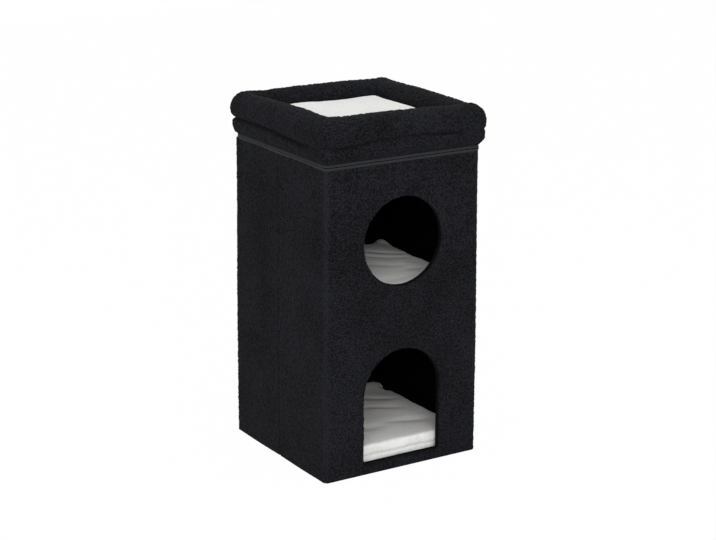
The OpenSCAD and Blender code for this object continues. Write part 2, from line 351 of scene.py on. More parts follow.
@dataclass(frozen=True)
class NonWoven(Finish):
    """Thin non-woven lining with rows of pressed dots."""

    dot: float = 2.2 * MM

    def dress(self, paint: Paint) -> None:
        """Pressed dots over matted fibres.

        Args:
            paint: The material being built.
        """
        dots = paint.ramp(paint.cells(paint.place, 1 / self.dot, 0.12), 0.18, 0.34)
        fibres = paint.noise(paint.stretched((1, 1, 0.35)), 900, 3, 0.7)
        share = paint.math("MULTIPLY", dots, paint.math("MULTIPLY_ADD", fibres, 0.8, 0.2))
        paint.colour(share, self.dark, self.light)
        paint.rough(dots, self.roughness - 0.25, self.roughness)
        paint.bump((dots, 0.5, 0.3 * MM), (fibres, 0.3, 0.2 * MM))


@dataclass(frozen=True)
class Woven(Finish):
    """Ribbed woven tape or binding, with its threads level and its ribs aslant."""

    thread: float = 0.55 * MM

    def dress(self, paint: Paint) -> None:
        """Slanting ribs crossed by finer threads, with rubbed patches.

        Args:
            paint: The material being built.
        """
        fine = 1 / (20 * self.thread)
        ribs = paint.waves(paint.place, fine * 3.1, 0.4, 1.0, bands_direction="DIAGONAL")
        threads = paint.waves(paint.place, fine * 6.2, 0.8, 2.0, bands_direction="Z")
        worn = paint.noise(paint.place, 60, 3)
        weave = paint.math("MULTIPLY_ADD", ribs, 0.6, paint.math("MULTIPLY", threads, 0.4))
        share = paint.math("MULTIPLY", weave, paint.math("MULTIPLY_ADD", worn, 0.9, 0.4))
        paint.colour(share, self.dark, self.light)
        paint.rough(worn, self.roughness - 0.15, self.roughness)
        paint.bump((weave, 0.5, 0.3 * MM))


@dataclass(frozen=True)
class Felt(Finish):
    """Pressed felt."""

    def dress(self, paint: Paint) -> None:
        """Matted short fibres with pilled specks.

        Args:
            paint: The material being built.
        """
        fibres = paint.noise(paint.place, 700, 5, 0.75)
        pills = paint.ramp(paint.cells(paint.place, 160), 0.3, 0.05)
        paint.colour(paint.math("MAXIMUM", fibres, pills), self.dark, self.light)
        paint.bump((fibres, 0.6, 0.4 * MM), (pills, 0.3, 0.3 * MM))
        paint.sheen(0.1, 0.6, self.light)


@dataclass(frozen=True)
class Fibreboard(Finish):
    """Bare fibreboard."""

    def dress(self, paint: Paint) -> None:
        """Pressed chips and flecks.

        Args:
            paint: The material being built.
        """
        chips = paint.noise(paint.place, 300, 6, 0.7)
        flecks = paint.ramp(paint.cells(paint.stretched((1, 1, 2)), 420), 0.5, 0.1)
        mixed = paint.math("MULTIPLY_ADD", flecks, 0.35, paint.math("MULTIPLY", chips, 0.8))
        paint.colour(mixed, self.dark, self.light)
        paint.rough(chips, 0.6, 0.85)
        paint.bump((chips, 0.25, 0.2 * MM))


@dataclass(frozen=True)
class Batten(Finish):
    """Planed softwood with its grain along X."""

    def dress(self, paint: Paint) -> None:
        """Growth rings drawn out along the batten, and pores.

        Args:
            paint: The material being built.
        """
        grain = paint.stretched((0.06, 1, 1))
        rings = paint.waves(grain, 60, 6.0, 3.0, wave_type="RINGS")
        pores = paint.noise(paint.stretched((0.05, 1, 1)), 1500, 3)
        mixed = paint.math("MULTIPLY_ADD", pores, 0.4, paint.math("MULTIPLY", rings, 0.6))
        paint.colour(mixed, self.dark, self.light)
        paint.rough(rings, 0.5, 0.75)
        paint.bump((pores, 0.2, 0.2 * MM))


@dataclass(frozen=True)
class Foam(Finish):
    """Open-celled upholstery foam."""

    def dress(self, paint: Paint) -> None:
        """Open cells of two sizes.

        Args:
            paint: The material being built.
        """
        cells = paint.cells(paint.place, 600)
        large = paint.cells(paint.place, 170)
        paint.colour(paint.math("MULTIPLY_ADD", large, 0.3, cells), self.dark, self.light)
        paint.bump((cells, 0.7, 0.6 * MM), (large, 0.3, 0.6 * MM))


@dataclass(frozen=True)
class Moulded(Finish):
    """Moulded nylon or spun thread: a smooth body with fine flow lines."""

    def dress(self, paint: Paint) -> None:
        """Fine lines and scuffs.

        Args:
            paint: The material being built.
        """
        scuffs = paint.noise(paint.place, 900, 4, 0.6)
        paint.colour(scuffs, self.dark, self.light)
        paint.rough(scuffs, self.roughness - 0.15, self.roughness + 0.1)
        paint.bump((scuffs, 0.2, 0.1 * MM))


@dataclass(frozen=True)
class Lacquer(Finish):
    """Black lacquered zinc, rubbed to bare metal in specks."""

    def dress(self, paint: Paint) -> None:
        """Lacquer with rubbed specks and orange peel.

        Args:
            paint: The material being built.
        """
        rubbed = paint.ramp(paint.noise(paint.place, 420, 5, 0.65), 0.6, 0.72)
        peel = paint.noise(paint.place, 2400, 2)
        paint.colour(rubbed, self.dark, self.light)
        paint.rough(rubbed, self.roughness, self.roughness + 0.15)
        paint.bump((peel, 0.15, 0.05 * MM))
        paint.shader.inputs["Metallic"].default_value = 0.7
        paint.shader.inputs["Coat Weight"].default_value = 0.3


PLUSH = Plush("black_plush", "plush", (0.0008, 0.0008, 0.0011), (0.0138, 0.0144, 0.0188), 1.0, 0.12,
              nub=3.7 * MM, sheen=0.05)
CUSHION_PLUSH = Plush("white_plush", "cushion", (0.72, 0.72, 0.70), (0.87, 0.87, 0.85), 1.0, 0.15,
                      nub=2.4 * MM, sheen=0.1, relief=0.3)
# Painted shade: a black lining made darker than black cloth, for the unlit insides
LINING_PAINTED_SHADE = NonWoven("black_lining", "lining", (0.0004, 0.0004, 0.0005), (0.0014, 0.0014, 0.0016), 0.9, 0.03)
BINDING = Woven("black_binding", "hem", (0.004, 0.004, 0.0045), (0.018, 0.018, 0.02))
# Painted shade: the entrances' black tape is made darker than the binding, for the shade in their reveals
EDGE_TAPE_PAINTED_SHADE = Woven("edge_tape", "hem", (0.0014, 0.0014, 0.0017), (0.0062, 0.0064, 0.0075), 0.9, 0.05)
TAPE = Woven("charcoal_tape", "zip_tape", (0.013, 0.0134, 0.0146), (0.037, 0.038, 0.041))
FELT = Felt("black_felt", "felt", (0.004, 0.004, 0.0045), (0.014, 0.014, 0.0155))
FIBREBOARD = Fibreboard("brown_fibreboard", "fibreboard", (0.26, 0.16, 0.075), (0.47, 0.33, 0.18))
BATTEN = Batten("pale_batten", "batten", (0.36, 0.22, 0.10), (0.55, 0.39, 0.22))
FOAM = Foam("cream_foam", "foam", (0.45, 0.42, 0.34), (0.78, 0.75, 0.66))
NYLON = Moulded("nylon_teeth", "zip_tape", (0.018, 0.018, 0.020), (0.04, 0.041, 0.044), 0.45, 0.4)
THREAD = Moulded("sewing_thread", "zip_tape", (0.008, 0.008, 0.009), (0.026, 0.026, 0.028), 0.8, 0.2)
ZINC = Lacquer("lacquered_zinc", "zip_metal", (0.016, 0.016, 0.018), (0.19, 0.19, 0.2), 0.32, 0.5)


def mesh_object(name: str, points: Points, faces: Iterable[Sequence[int]],
                edges: Iterable[Sequence[int]] = ()) -> bpy.types.Object:
    """Makes a smooth mesh object at the origin.

    Args:
        name: The object's name.
        points: Its vertices, one row each.
        faces: Its faces, as vertex numbers.
        edges: Edges without a face, as vertex numbers.

    Returns:
        The object.
    """
    mesh = bpy.data.meshes.new(name)
    mesh.from_pydata([tuple(p) for p in points], list(edges), [tuple(f) for f in faces])
    return link(name, mesh)


def from_bmesh(name: str, made: bmesh.types.BMesh) -> bpy.types.Object:
    """Makes a smooth mesh object from a bmesh, which it frees.

    Args:
        name: The object's name.
        made: The bmesh.

    Returns:
        The object.
    """
    mesh = bpy.data.meshes.new(name)
    made.to_mesh(mesh)
    made.free()
    return link(name, mesh)


def link(name: str, mesh: bpy.types.Mesh) -> bpy.types.Object:
    """Links a mesh to the scene as a smooth object.

    Args:
        name: The object's name.
        mesh: Its mesh.

    Returns:
        The object.
    """
    piece = bpy.data.objects.new(name, mesh)
    bpy.context.scene.collection.objects.link(piece)
    smooth(piece)
    return piece


def smooth(piece: bpy.types.Object) -> None:
    """Shades all of a piece's faces smooth."""
    piece.data.polygons.foreach_set("use_smooth", np.ones(len(piece.data.polygons), bool))
    piece.data.update()


def points_in(mesh: bpy.types.Mesh) -> Points:
    """Reads a mesh's vertices.

    Args:
        mesh: The mesh.

    Returns:
        The vertices, one row each.
    """
    flat = np.empty(len(mesh.vertices) * 3)
    mesh.vertices.foreach_get("co", flat)
    return flat.reshape(-1, 3)


def points_of(piece: bpy.types.Object) -> Points:
    """A piece's vertices, one row each."""
    return points_in(piece.data)


def move_points(piece: bpy.types.Object, points: Points) -> None:
    """Gives a piece's vertices new places."""
    piece.data.vertices.foreach_set("co", np.asarray(points, np.float32).ravel())
    piece.data.update()


def bake(piece: bpy.types.Object) -> bpy.types.Object:
    """Turns a piece's live modifiers into a plain mesh.

    Args:
        piece: The object with the modifiers.

    Returns:
        The same object, with its mesh final and no modifiers.
    """
    graph = bpy.context.evaluated_depsgraph_get()
    graph.update()
    mesh = bpy.data.meshes.new_from_object(piece.evaluated_get(graph))
    piece.modifiers.clear()
    piece.data = mesh
    mesh.name = piece.name
    return piece


def with_modifier(piece: bpy.types.Object, kind: str, **settings: object) -> bpy.types.Object:
    """Adds a modifier and bakes it.

    Args:
        piece: The object.
        kind: The modifier's type.
        settings: Its settings.

    Returns:
        The same object.
    """
    modifier = piece.modifiers.new(kind.lower(), kind)
    for name, value in settings.items():
        setattr(modifier, name, value)
    return bake(piece)


def subdivided(piece: bpy.types.Object) -> bpy.types.Object:
    """One level of subdivision surface, baked."""
    return with_modifier(piece, "SUBSURF", levels=1, render_levels=1)


def evened(piece: bpy.types.Object, voxel: float, passes: int) -> bpy.types.Object:
    """Remeshes a piece into even faces and smooths it in some passes."""
    with_modifier(piece, "REMESH", mode="VOXEL", voxel_size=voxel, adaptivity=0)
    return with_modifier(piece, "SMOOTH", factor=0.5, iterations=passes)


def smoothstep(value: Points, low: float, high: float) -> Points:
    """A value spread smoothly from 0 at low to 1 at high."""
    share = np.clip((value - low) / (high - low), 0, 1)
    return share * share * (3 - 2 * share)


def square_reach(points: Points) -> Points:
    """How far each point is from the upright middle axis, measured square."""
    return np.max(np.abs(points[:, :2]), axis=1)


def ways_out(points: Points) -> Points:
    """Level directions from the upright middle axis to each point."""
    return points[:, :2] / np.maximum(np.linalg.norm(points[:, :2], axis=1, keepdims=True), 1e-6)


def ripple(points: Points, wave: float, seed: int, count: int = 5) -> Points:
    """Smooth random swell over a set of points.

    Args:
        points: The points, one row each.
        wave: The shortest wave length, in metres.
        seed: Fixes the swell.
        count: Number of waves laid on each other.

    Returns:
        A value for each point, from about -1 to 1.
    """
    draw = np.random.default_rng(seed)
    total = np.zeros(len(points))
    for _ in range(count):
        way = draw.normal(size=3)
        way /= np.linalg.norm(way)
        pitch = 2 * math.pi / (wave * draw.uniform(1.0, 2.2))
        total += np.sin(points @ way * pitch + draw.uniform(0, 2 * math.pi))
    return total / math.sqrt(count) / RIPPLE_PEAK


def set_weight(piece: bpy.types.Object, name: str, weights: Points) -> None:
    """Stores a number for each vertex as a named attribute."""
    layer = piece.data.attributes.get(name) or piece.data.attributes.new(name, "FLOAT", "POINT")
    layer.data.foreach_set("value", np.asarray(weights, np.float32))


def cad_copy(name: str, nodes: Sequence[str], open_mitres: bool = False) -> bpy.types.Object:
    """Copies CAD nodes into one merged mesh.

    Args:
        name: The new object's name.
        nodes: The nodes to copy.
        open_mitres: Whether to delete the faces on the corner diagonals, so that mitred runs join.

    Returns:
        The new object.
    """
    made = bmesh.new()
    for node in nodes:
        made.from_mesh(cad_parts[node].data)
    if open_mitres:
        ends = [f for f in made.faces if all(abs(abs(at.x) - abs(at.y)) < WELD
                                             for at in [f.calc_center_median()] + [v.co for v in f.verts])]
        bmesh.ops.delete(made, geom=ends, context="FACES")
    bmesh.ops.remove_doubles(made, verts=made.verts, dist=WELD)
    return from_bmesh(name, made)


def bevelled_copy(name: str, nodes: Sequence[str], width: float, segments: int = 2) -> bpy.types.Object:
    """Copies CAD nodes with their flat faces joined and their edges rounded.

    Args:
        name: The new object's name.
        nodes: The nodes to copy.
        width: Width of the rounding, in metres.
        segments: Steps in the rounding.

    Returns:
        The new object.
    """
    piece = cad_copy(name, nodes)
    made = bmesh.new()
    made.from_mesh(piece.data)
    bmesh.ops.dissolve_limit(made, angle_limit=FLAT_ANGLE, verts=made.verts, edges=made.edges)
    sharp = [e for e in made.edges if len(e.link_faces) == 2 and e.calc_face_angle() > SHARP_ANGLE]
    bmesh.ops.bevel(made, geom=sharp, offset=width, offset_type="OFFSET", segments=segments,
                    profile=0.5, affect="EDGES", clamp_overlap=True)
    bmesh.ops.triangulate(made, faces=[f for f in made.faces if len(f.verts) > 4])
    made.to_mesh(piece.data)
    made.free()
    smooth(piece)
    return with_modifier(piece, "WEIGHTED_NORMAL", keep_sharp=True)


def dressed(piece: bpy.types.Object, finish: Finish, body: Body, *nodes: str) -> bpy.types.Object:
    """Gives a finished piece its material and body, and hides the CAD nodes that it stands for.

    Args:
        piece: The finished object.
        finish: Its finish.
        body: The body that it rides on.
        nodes: The CAD nodes that it replaces.

    Returns:
        The piece.
    """
    piece.data.materials.clear()
    piece.data.materials.append(finish.material())
    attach(piece, body.value)
    if nodes:
        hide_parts(*nodes)
    LOG.info("%s: %d faces on %s", piece.name, len(piece.data.polygons), body.value)
    return piece


def painted_node(node: str, finish: Finish) -> None:
    """Gives a CAD node that stays in view its finish.

    Args:
        node: The node's name.
        finish: The finish.
    """
    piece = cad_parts[node]
    piece.data.materials.clear()
    piece.data.materials.append(finish.material())
    LOG.info("%s: CAD node in %s", node, finish.name)


class Tree(Sketch):
    """A Geometry Nodes tree with named inputs."""

    def __init__(self, name: str) -> None:
        """Starts a tree with one geometry in and one out.

        Args:
            name: The tree's name.
        """
        super().__init__(bpy.data.node_groups.new(name, "GeometryNodeTree"))
        self.tree.is_modifier = True
        self.tree.interface.new_socket("Geometry", in_out="OUTPUT", socket_type="NodeSocketGeometry")
        self.tree.interface.new_socket("Geometry", in_out="INPUT", socket_type="NodeSocketGeometry")
        self.entry = self.add("NodeGroupInput")

    def input(self, name: str, kind: str = "NodeSocketFloat") -> bpy.types.NodeSocket:
        """Adds a named input and returns its socket."""
        self.tree.interface.new_socket(name, in_out="INPUT", socket_type=kind)
        return self.entry.outputs[name]

    def finish(self, geometry: bpy.types.NodeSocket, material: bpy.types.NodeSocket) -> bpy.types.NodeTree:
        """Ends the tree in Realize Instances and Set Material.

        Args:
            geometry: What the tree has made.
            material: The material's input.

        Returns:
            The finished tree.
        """
        real = self.add("GeometryNodeRealizeInstances", geometry).outputs[0]
        node = self.wired("GeometryNodeSetMaterial", Geometry=real, Material=material)
        self.add("NodeGroupOutput", node.outputs[0])
        return self.tree


def pile_tree() -> bpy.types.NodeTree:
    """Tree that raises a surface into nubs of pile along its normals, by the vertex weight "pile".

    Returns:
        The tree, made once.
    """
    found = bpy.data.node_groups.get("raise_pile")
    if found:
        return found
    tree = Tree("raise_pile")
    nub, height, sway = (tree.input(n) for n in ("Nub Size", "Nub Height", "Sway"))
    seed = tree.input("Seed", "NodeSocketVector")
    material = tree.input("Material", "NodeSocketMaterial")
    place = tree.vector("ADD", tree.add("GeometryNodeInputPosition").outputs[0], seed)
    fine = tree.math("DIVIDE", 1.0, nub)
    drift = tree.wired("ShaderNodeTexNoise", Vector=place, Scale=tree.math("MULTIPLY", fine, 0.35))
    pulled = tree.scaled(drift.outputs["Color"], tree.math("MULTIPLY", nub, 1.6))
    nubs = tree.ramp(tree.cells(tree.vector("ADD", place, pulled), fine), 0.8, 0.05)
    jitter = tree.math("SUBTRACT", tree.noise(place, tree.math("MULTIPLY", fine, 1.7), 1), 0.5)
    broad = tree.math("SUBTRACT", tree.noise(place, 18, 1), 0.5)
    uneven = tree.math("MULTIPLY_ADD", jitter, 0.8, nubs)
    raised = tree.math("MULTIPLY", tree.math("ADD", uneven, -0.45), height)
    lift = tree.math("MULTIPLY_ADD", broad, sway, raised)
    weight = tree.add("GeometryNodeInputNamedAttribute", "pile", data_type="FLOAT").outputs[0]
    normal = tree.add("GeometryNodeInputNormal").outputs[0]
    moved = tree.wired("GeometryNodeSetPosition", Geometry=tree.entry.outputs["Geometry"],
                       Offset=tree.scaled(normal, tree.math("MULTIPLY", lift, weight)))
    return tree.finish(moved.outputs[0], material)


def run_tree() -> bpy.types.NodeTree:
    """Tree that sets one item along a path at a pitch, its X along the path and its Z up.

    Returns:
        The tree, made once.
    """
    found = bpy.data.node_groups.get("set_along_path")
    if found:
        return found
    tree = Tree("set_along_path")
    item = tree.input("Item", "NodeSocketObject")
    pitch = tree.input("Pitch")
    material = tree.input("Material", "NodeSocketMaterial")
    curve = tree.add("GeometryNodeMeshToCurve", tree.entry.outputs["Geometry"]).outputs[0]
    points = tree.add("GeometryNodeCurveToPoints", curve, mode="LENGTH")
    tree.feed(points.inputs["Length"], pitch)
    turn = tree.add("FunctionNodeAxesToRotation", points.outputs["Tangent"], (0, 0, 1),
                    primary_axis="X", secondary_axis="Z")
    shape = tree.add("GeometryNodeObjectInfo", item, transform_space="ORIGINAL")
    placed = tree.wired("GeometryNodeInstanceOnPoints", Points=points.outputs["Points"],
                        Instance=shape.outputs["Geometry"], Rotation=turn.outputs[0])
    return tree.finish(placed.outputs[0], material)


def grown(piece: bpy.types.Object, tree: bpy.types.NodeTree, **inputs: object) -> bpy.types.Object:
    """Runs a Geometry Nodes tree on a piece and bakes it.

    Args:
        piece: The object.
        tree: The tree.
        inputs: The tree's inputs, by name with underscores for spaces.

    Returns:
        The same object, with a plain mesh.
    """
    modifier = piece.modifiers.new(tree.name, "NODES")
    modifier.node_group = tree
    for socket in tree.interface.items_tree:
        value = inputs.get(socket.name.replace(" ", "_"))
        if value is not None:
            modifier[socket.identifier] = value
    bake(piece)
    smooth(piece)
    return piece


@dataclass(frozen=True)
class Pile:
    """How a plush piece's nubs are raised."""

    nub: float = 6.0 * MM
    height: float = 1.5 * MM
    sway: float = 1.2 * MM

    def raise_on(self, piece: bpy.types.Object, finish: Finish, seed: int) -> bpy.types.Object:
        """Raises the nubs on a piece by its "pile" weights.

        Args:
            piece: The object.
            finish: Its finish.
            seed: Shifts the pattern, so that no two pieces are alike.

        Returns:
            The same object.
        """
        shift = tuple(step * seed for step in SEED_STEPS)
        return grown(piece, pile_tree(), Nub_Size=self.nub, Nub_Height=self.height, Sway=self.sway,
                     Seed=shift, Material=finish.material())


@dataclass(frozen=True)
class Footprint:
    """Outline of the walls in plan."""

    half: float = 190 * MM
    corner: float = 8 * MM

    @property
    def flat(self) -> float:
        """Half the length of a side's flat part."""
        return self.half - self.corner

    @property
    def reach(self) -> float:
        """Distance along a side from its middle to the corner's diagonal."""
        return self.flat + self.corner * math.pi / 4

    def front(self, along: Points, depth: Points) -> tuple[Points, Points]:
        """Places on the front side.

        Args:
            along: Distances along the side from its middle.
            depth: Depths in from the outer face.

        Returns:
            The places and the outward directions, in plan.
        """
        turn = np.sign(along) * np.clip(np.abs(along) - self.flat, 0, None) / self.corner
        out = np.stack([np.sin(turn), -np.cos(turn)], -1)
        middle = np.stack([np.clip(along, -self.flat, self.flat), np.full_like(along, -self.flat)], -1)
        return middle + (self.corner - np.asarray(depth))[..., None] * out, out

    def ring(self, step: float) -> tuple[Points, Points]:
        """The whole outline as evenly spaced places.

        Args:
            step: Spacing along the flat sides.

        Returns:
            The places and the outward directions, in plan.
        """
        count = int(round(2 * self.flat / step))
        straight = np.linspace(-self.flat, self.flat, count + 1)
        steps = max(4, int(self.corner * math.pi / 4 / step * 2))
        bend = np.linspace(self.flat, self.reach, steps + 1)[1:]
        along = np.concatenate([-bend[::-1][1:], straight, bend])
        places, outs = self.front(along, np.zeros_like(along))
        level = np.zeros((len(along), 1))
        around = [np.concatenate([side.place(np.hstack([plan, level]))[:, :2] for side in Side])
                  for plan in (places, outs)]
        return around[0], around[1]


FOOTPRINT = Footprint()


def arc(middle: tuple[float, float], radius: float, low: float, high: float,
        count: int) -> tuple[Points, Points]:
    """Evenly spaced places round part of a circle.

    Args:
        middle: The circle's middle.
        radius: Its radius.
        low: Angle of the first place, in degrees.
        high: Angle of the last place.
        count: Number of places.

    Returns:
        The places and the directions away from the middle.
    """
    turn = np.radians(np.linspace(low, high, count))
    out = np.stack([np.cos(turn), np.sin(turn)], -1)
    return np.array(middle) + radius * out, out


@dataclass(frozen=True)
class Hole(ABC):
    """An entrance in the front wall, in the plane of the wall."""

    word: str = "porthole"
    half: float = 95 * MM
    middle: float = 504 * MM
    count: int = 1440

    @abstractmethod
    def edge(self) -> tuple[Points, Points]:
        """Closely spaced places round the edge, and the directions away from the hole."""

    @abstractmethod
    def distance(self, flat: Points) -> Points:
        """Distance of points in the wall's plane from the edge, negative inside the hole."""


@dataclass(frozen=True)
class Porthole(Hole):
    """Round upper entrance."""

    def edge(self) -> tuple[Points, Points]:
        """Goes round the circle.

        Returns:
            The places and the directions away from the hole.
        """
        turn = np.linspace(0, 2 * math.pi, self.count, endpoint=False)
        out = np.stack([np.cos(turn), np.sin(turn)], -1)
        return np.array([0, self.middle]) + self.half * out, out

    def distance(self, flat: Points) -> Points:
        """Distance from the circle."""
        return np.hypot(flat[:, 0], flat[:, 1] - self.middle) - self.half


@dataclass(frozen=True)
class Doorway(Hole):
    """Arched lower entrance: middle is the height at which the arch springs."""

    word: str = "doorway"
    middle: float = 171 * MM
    count: int = 2400
    sill: float = 20 * MM
    round: float = 5 * MM

    def edge(self) -> tuple[Points, Points]:
        """Goes round the arch, anticlockwise from the sill's right end.

        Returns:
            The places and the directions away from the hole.
        """
        inner = self.half - self.round
        foot = self.sill + self.round
        runs = [arc((inner, foot), self.round, -90, 0, 60),
                arc((0, self.middle), self.half, 0, 180, 900),
                arc((-inner, foot), self.round, 180, 270, 60)]
        corners, outs = (np.concatenate([run[part] for run in runs] + [runs[0][part][:1]]) for part in (0, 1))
        return self.spread(corners, outs)

    def spread(self, corners: Points, outs: Points) -> tuple[Points, Points]:
        """Spaces an edge's places evenly.

        Args:
            corners: Places round the edge, ending where they start.
            outs: Directions away from the hole there.

        Returns:
            Evenly spaced places and directions.
        """
        run = np.concatenate([[0], np.cumsum(np.linalg.norm(np.diff(corners, axis=0), axis=1))])
        even = np.linspace(0, run[-1], self.count, endpoint=False)
        places = np.stack([np.interp(even, run, corners[:, k]) for k in (0, 1)], -1)
        ways = np.stack([np.interp(even, run, outs[:, k]) for k in (0, 1)], -1)
        return places, ways / np.linalg.norm(ways, axis=1, keepdims=True)

    def distance(self, flat: Points) -> Points:
        """Distance from the arch, near enough to cut by.

        Args:
            flat: Points in the wall's plane.

        Returns:
            Their distances, negative inside the hole.
        """
        arch = np.hypot(flat[:, 0], flat[:, 1] - self.middle) - self.half
        sides = np.abs(flat[:, 0]) - self.half
        below = self.sill - flat[:, 1]
        outside = np.hypot(np.clip(sides, 0, None), np.clip(below, 0, None))
        box = np.where((sides > 0) & (below > 0), outside, np.maximum(sides, below))
        return np.where(flat[:, 1] > self.middle, arch, box)


ENTRANCES = (Porthole(), Doorway())


@dataclass
class WallPanel:
    """One side's skin as a closed shell, with its entrances' edges turned in."""

    face: float
    back: float
    low: float
    high: float
    step: float
    holes: tuple[Hole, ...] = ()
    lip: tuple[tuple[float, float], ...] = ()
    trim: float = 5 * MM
    least_corner: float = 1 * MM
    overlap: float = 0.35
    even_passes: int = 40
    relax_rows: int = 4
    relax_passes: int = 8
    mesh: bmesh.types.BMesh = field(init=False)

    def build(self, name: str) -> bpy.types.Object:
        """Makes the shell on the front side, from which Side.place turns it.

        Args:
            name: The object's name.

        Returns:
            The object, with its mesh still on the front side.
        """
        self.mesh = bmesh.new()
        self.skin()
        border, inner = self.loops()
        rims = [self.turn_in(hole, ring) for hole, ring in inner]
        rims.insert(0, self.close_border(border))
        edges = [edge for rim in rims for edge in self.ring_edges(rim)]
        bmesh.ops.triangle_fill(self.mesh, use_beauty=True, edges=edges)
        bmesh.ops.recalc_face_normals(self.mesh, faces=self.mesh.faces)
        return from_bmesh(name, self.mesh)

    def skin(self) -> None:
        """Lays the shown face as a grid, left out over the holes."""
        base = Footprint(FOOTPRINT.half - self.face, max(FOOTPRINT.corner - self.face, self.least_corner))
        steps = int(round(2 * base.flat / self.step))
        bend = max(2, int(round((base.reach - base.flat) / self.step)))
        straight = np.linspace(-base.flat, base.flat, steps + 1)
        end = np.linspace(base.flat, base.reach, bend + 1)[1:]
        along = np.concatenate([-end[::-1], straight, end])
        heights = np.linspace(self.low, self.high, int(round((self.high - self.low) / self.step)) + 1)
        plan, _ = base.front(along, np.zeros_like(along))
        flat = np.stack(np.meshgrid(plan[:, 0], heights), -1).reshape(-1, 2)
        keep = np.ones(len(flat), bool)
        for hole in self.holes:
            keep &= hole.distance(flat) >= self.lip[0][0] - self.overlap * self.step
        columns = len(along)
        made = {}
        for k in np.flatnonzero(keep):
            x, y = plan[k % columns]
            made[k] = self.mesh.verts.new((x, y, flat[k, 1]))
        for row in range(len(heights) - 1):
            for column in range(columns - 1):
                first = row * columns + column
                corners = (first, first + 1, first + columns + 1, first + columns)
                if all(keep[c] for c in corners):
                    self.mesh.faces.new([made[c] for c in corners])
        loose = [v for v in self.mesh.verts if not v.link_faces]
        bmesh.ops.delete(self.mesh, geom=loose, context="VERTS")

    def loops(self) -> tuple[list[bmesh.types.BMVert], list[tuple[Hole, list[bmesh.types.BMVert]]]]:
        """Finds the border and the edge of each hole as rings of vertices.

        Returns:
            The border's ring, and each hole with its ring.
        """
        open_edges = dict.fromkeys(e for e in self.mesh.edges if e.is_boundary)
        rings = []
        while open_edges:
            edge, _ = open_edges.popitem()
            first, here = edge.verts
            ring = [first]
            while here is not first:
                ring.append(here)
                following = next(e for e in here.link_edges if e in open_edges)
                del open_edges[following]
                here = following.other_vert(here)
            rings.append(ring)
        rings.sort(key=len)
        border = rings.pop()
        found = []
        for hole in self.holes:
            near = min(rings, key=lambda ring: abs(np.mean([v.co.z for v in ring]) - hole.middle))
            found.append((hole, near))
        return border, found

    def turn_in(self, hole: Hole, ring: list[bmesh.types.BMVert]) -> list[bmesh.types.BMVert]:
        """Draws the grid's edge onto the hole's outline and turns it in through the wall.

        Args:
            hole: The hole.
            ring: The grid's vertices round it.

        Returns:
            The last ring, on the shell's back.
        """
        places, outs = hole.edge()
        flat = np.array([(v.co.x, v.co.z) for v in ring])
        start = places + self.lip[0][0] * outs
        nearest = np.argmin(((flat[:, None] - start[None]) ** 2).sum(-1), axis=1).astype(float)
        count = len(places)
        hops = (np.diff(nearest, append=nearest[0]) + count / 2) % count - count / 2
        way = nearest[0] + np.concatenate([[0], np.cumsum(hops)[:-1]])
        lap = math.copysign(count, np.sum(hops))
        for _ in range(self.even_passes):
            after, before = np.append(way[1:], way[0] + lap), np.append(way[-1] - lap, way[:-1])
            way = 0.5 * way + 0.25 * (after + before)
        spots = np.round(way).astype(int) % count
        for v, spot in zip(ring, spots):
            v.co.x, v.co.z = start[spot]
        self.relax(ring)
        for away, depth in self.lip[1:]:
            edge = places[spots] + away * outs[spots]
            following = [self.mesh.verts.new((x, depth - FOOTPRINT.half, z)) for x, z in edge]
            self.bridge(ring, following)
            ring = following
        return ring

    def relax(self, ring: list[bmesh.types.BMVert]) -> None:
        """Evens out the grid next to a hole's edge.

        Args:
            ring: The vertices along the edge, which stay.
        """
        near, front = set(ring), set(ring)
        for _ in range(self.relax_rows):
            front = {e.other_vert(v) for v in front for e in v.link_edges} - near
            near |= front
        near -= set(ring)
        inner = [v for v in self.mesh.verts if v in near]
        for _ in range(self.relax_passes):
            bmesh.ops.smooth_vert(self.mesh, verts=inner, factor=0.5, use_axis_x=True, use_axis_z=True)

    def close_border(self, ring: list[bmesh.types.BMVert]) -> list[bmesh.types.BMVert]:
        """Carries the border to the shell's back.

        Args:
            ring: The border's vertices.

        Returns:
            The ring on the back.
        """
        scale = (FOOTPRINT.half - self.trim) / max(v.co.x for v in ring)
        level = self.back - FOOTPRINT.half
        rear = [self.mesh.verts.new((v.co.x * scale, level, v.co.z)) for v in ring]
        self.bridge(ring, rear)
        return rear

    def bridge(self, ring: list[bmesh.types.BMVert], following: list[bmesh.types.BMVert]) -> None:
        """Joins two rings with faces.

        Args:
            ring: The first ring's vertices.
            following: The second ring's, in the same order.
        """
        for k, first in enumerate(ring):
            after = (k + 1) % len(ring)
            self.mesh.faces.new((first, ring[after], following[after], following[k]))

    def ring_edges(self, ring: list[bmesh.types.BMVert]) -> list[bmesh.types.BMEdge]:
        """The edges along a ring."""
        return [self.mesh.edges.get((v, ring[(k + 1) % len(ring)])) for k, v in enumerate(ring)]


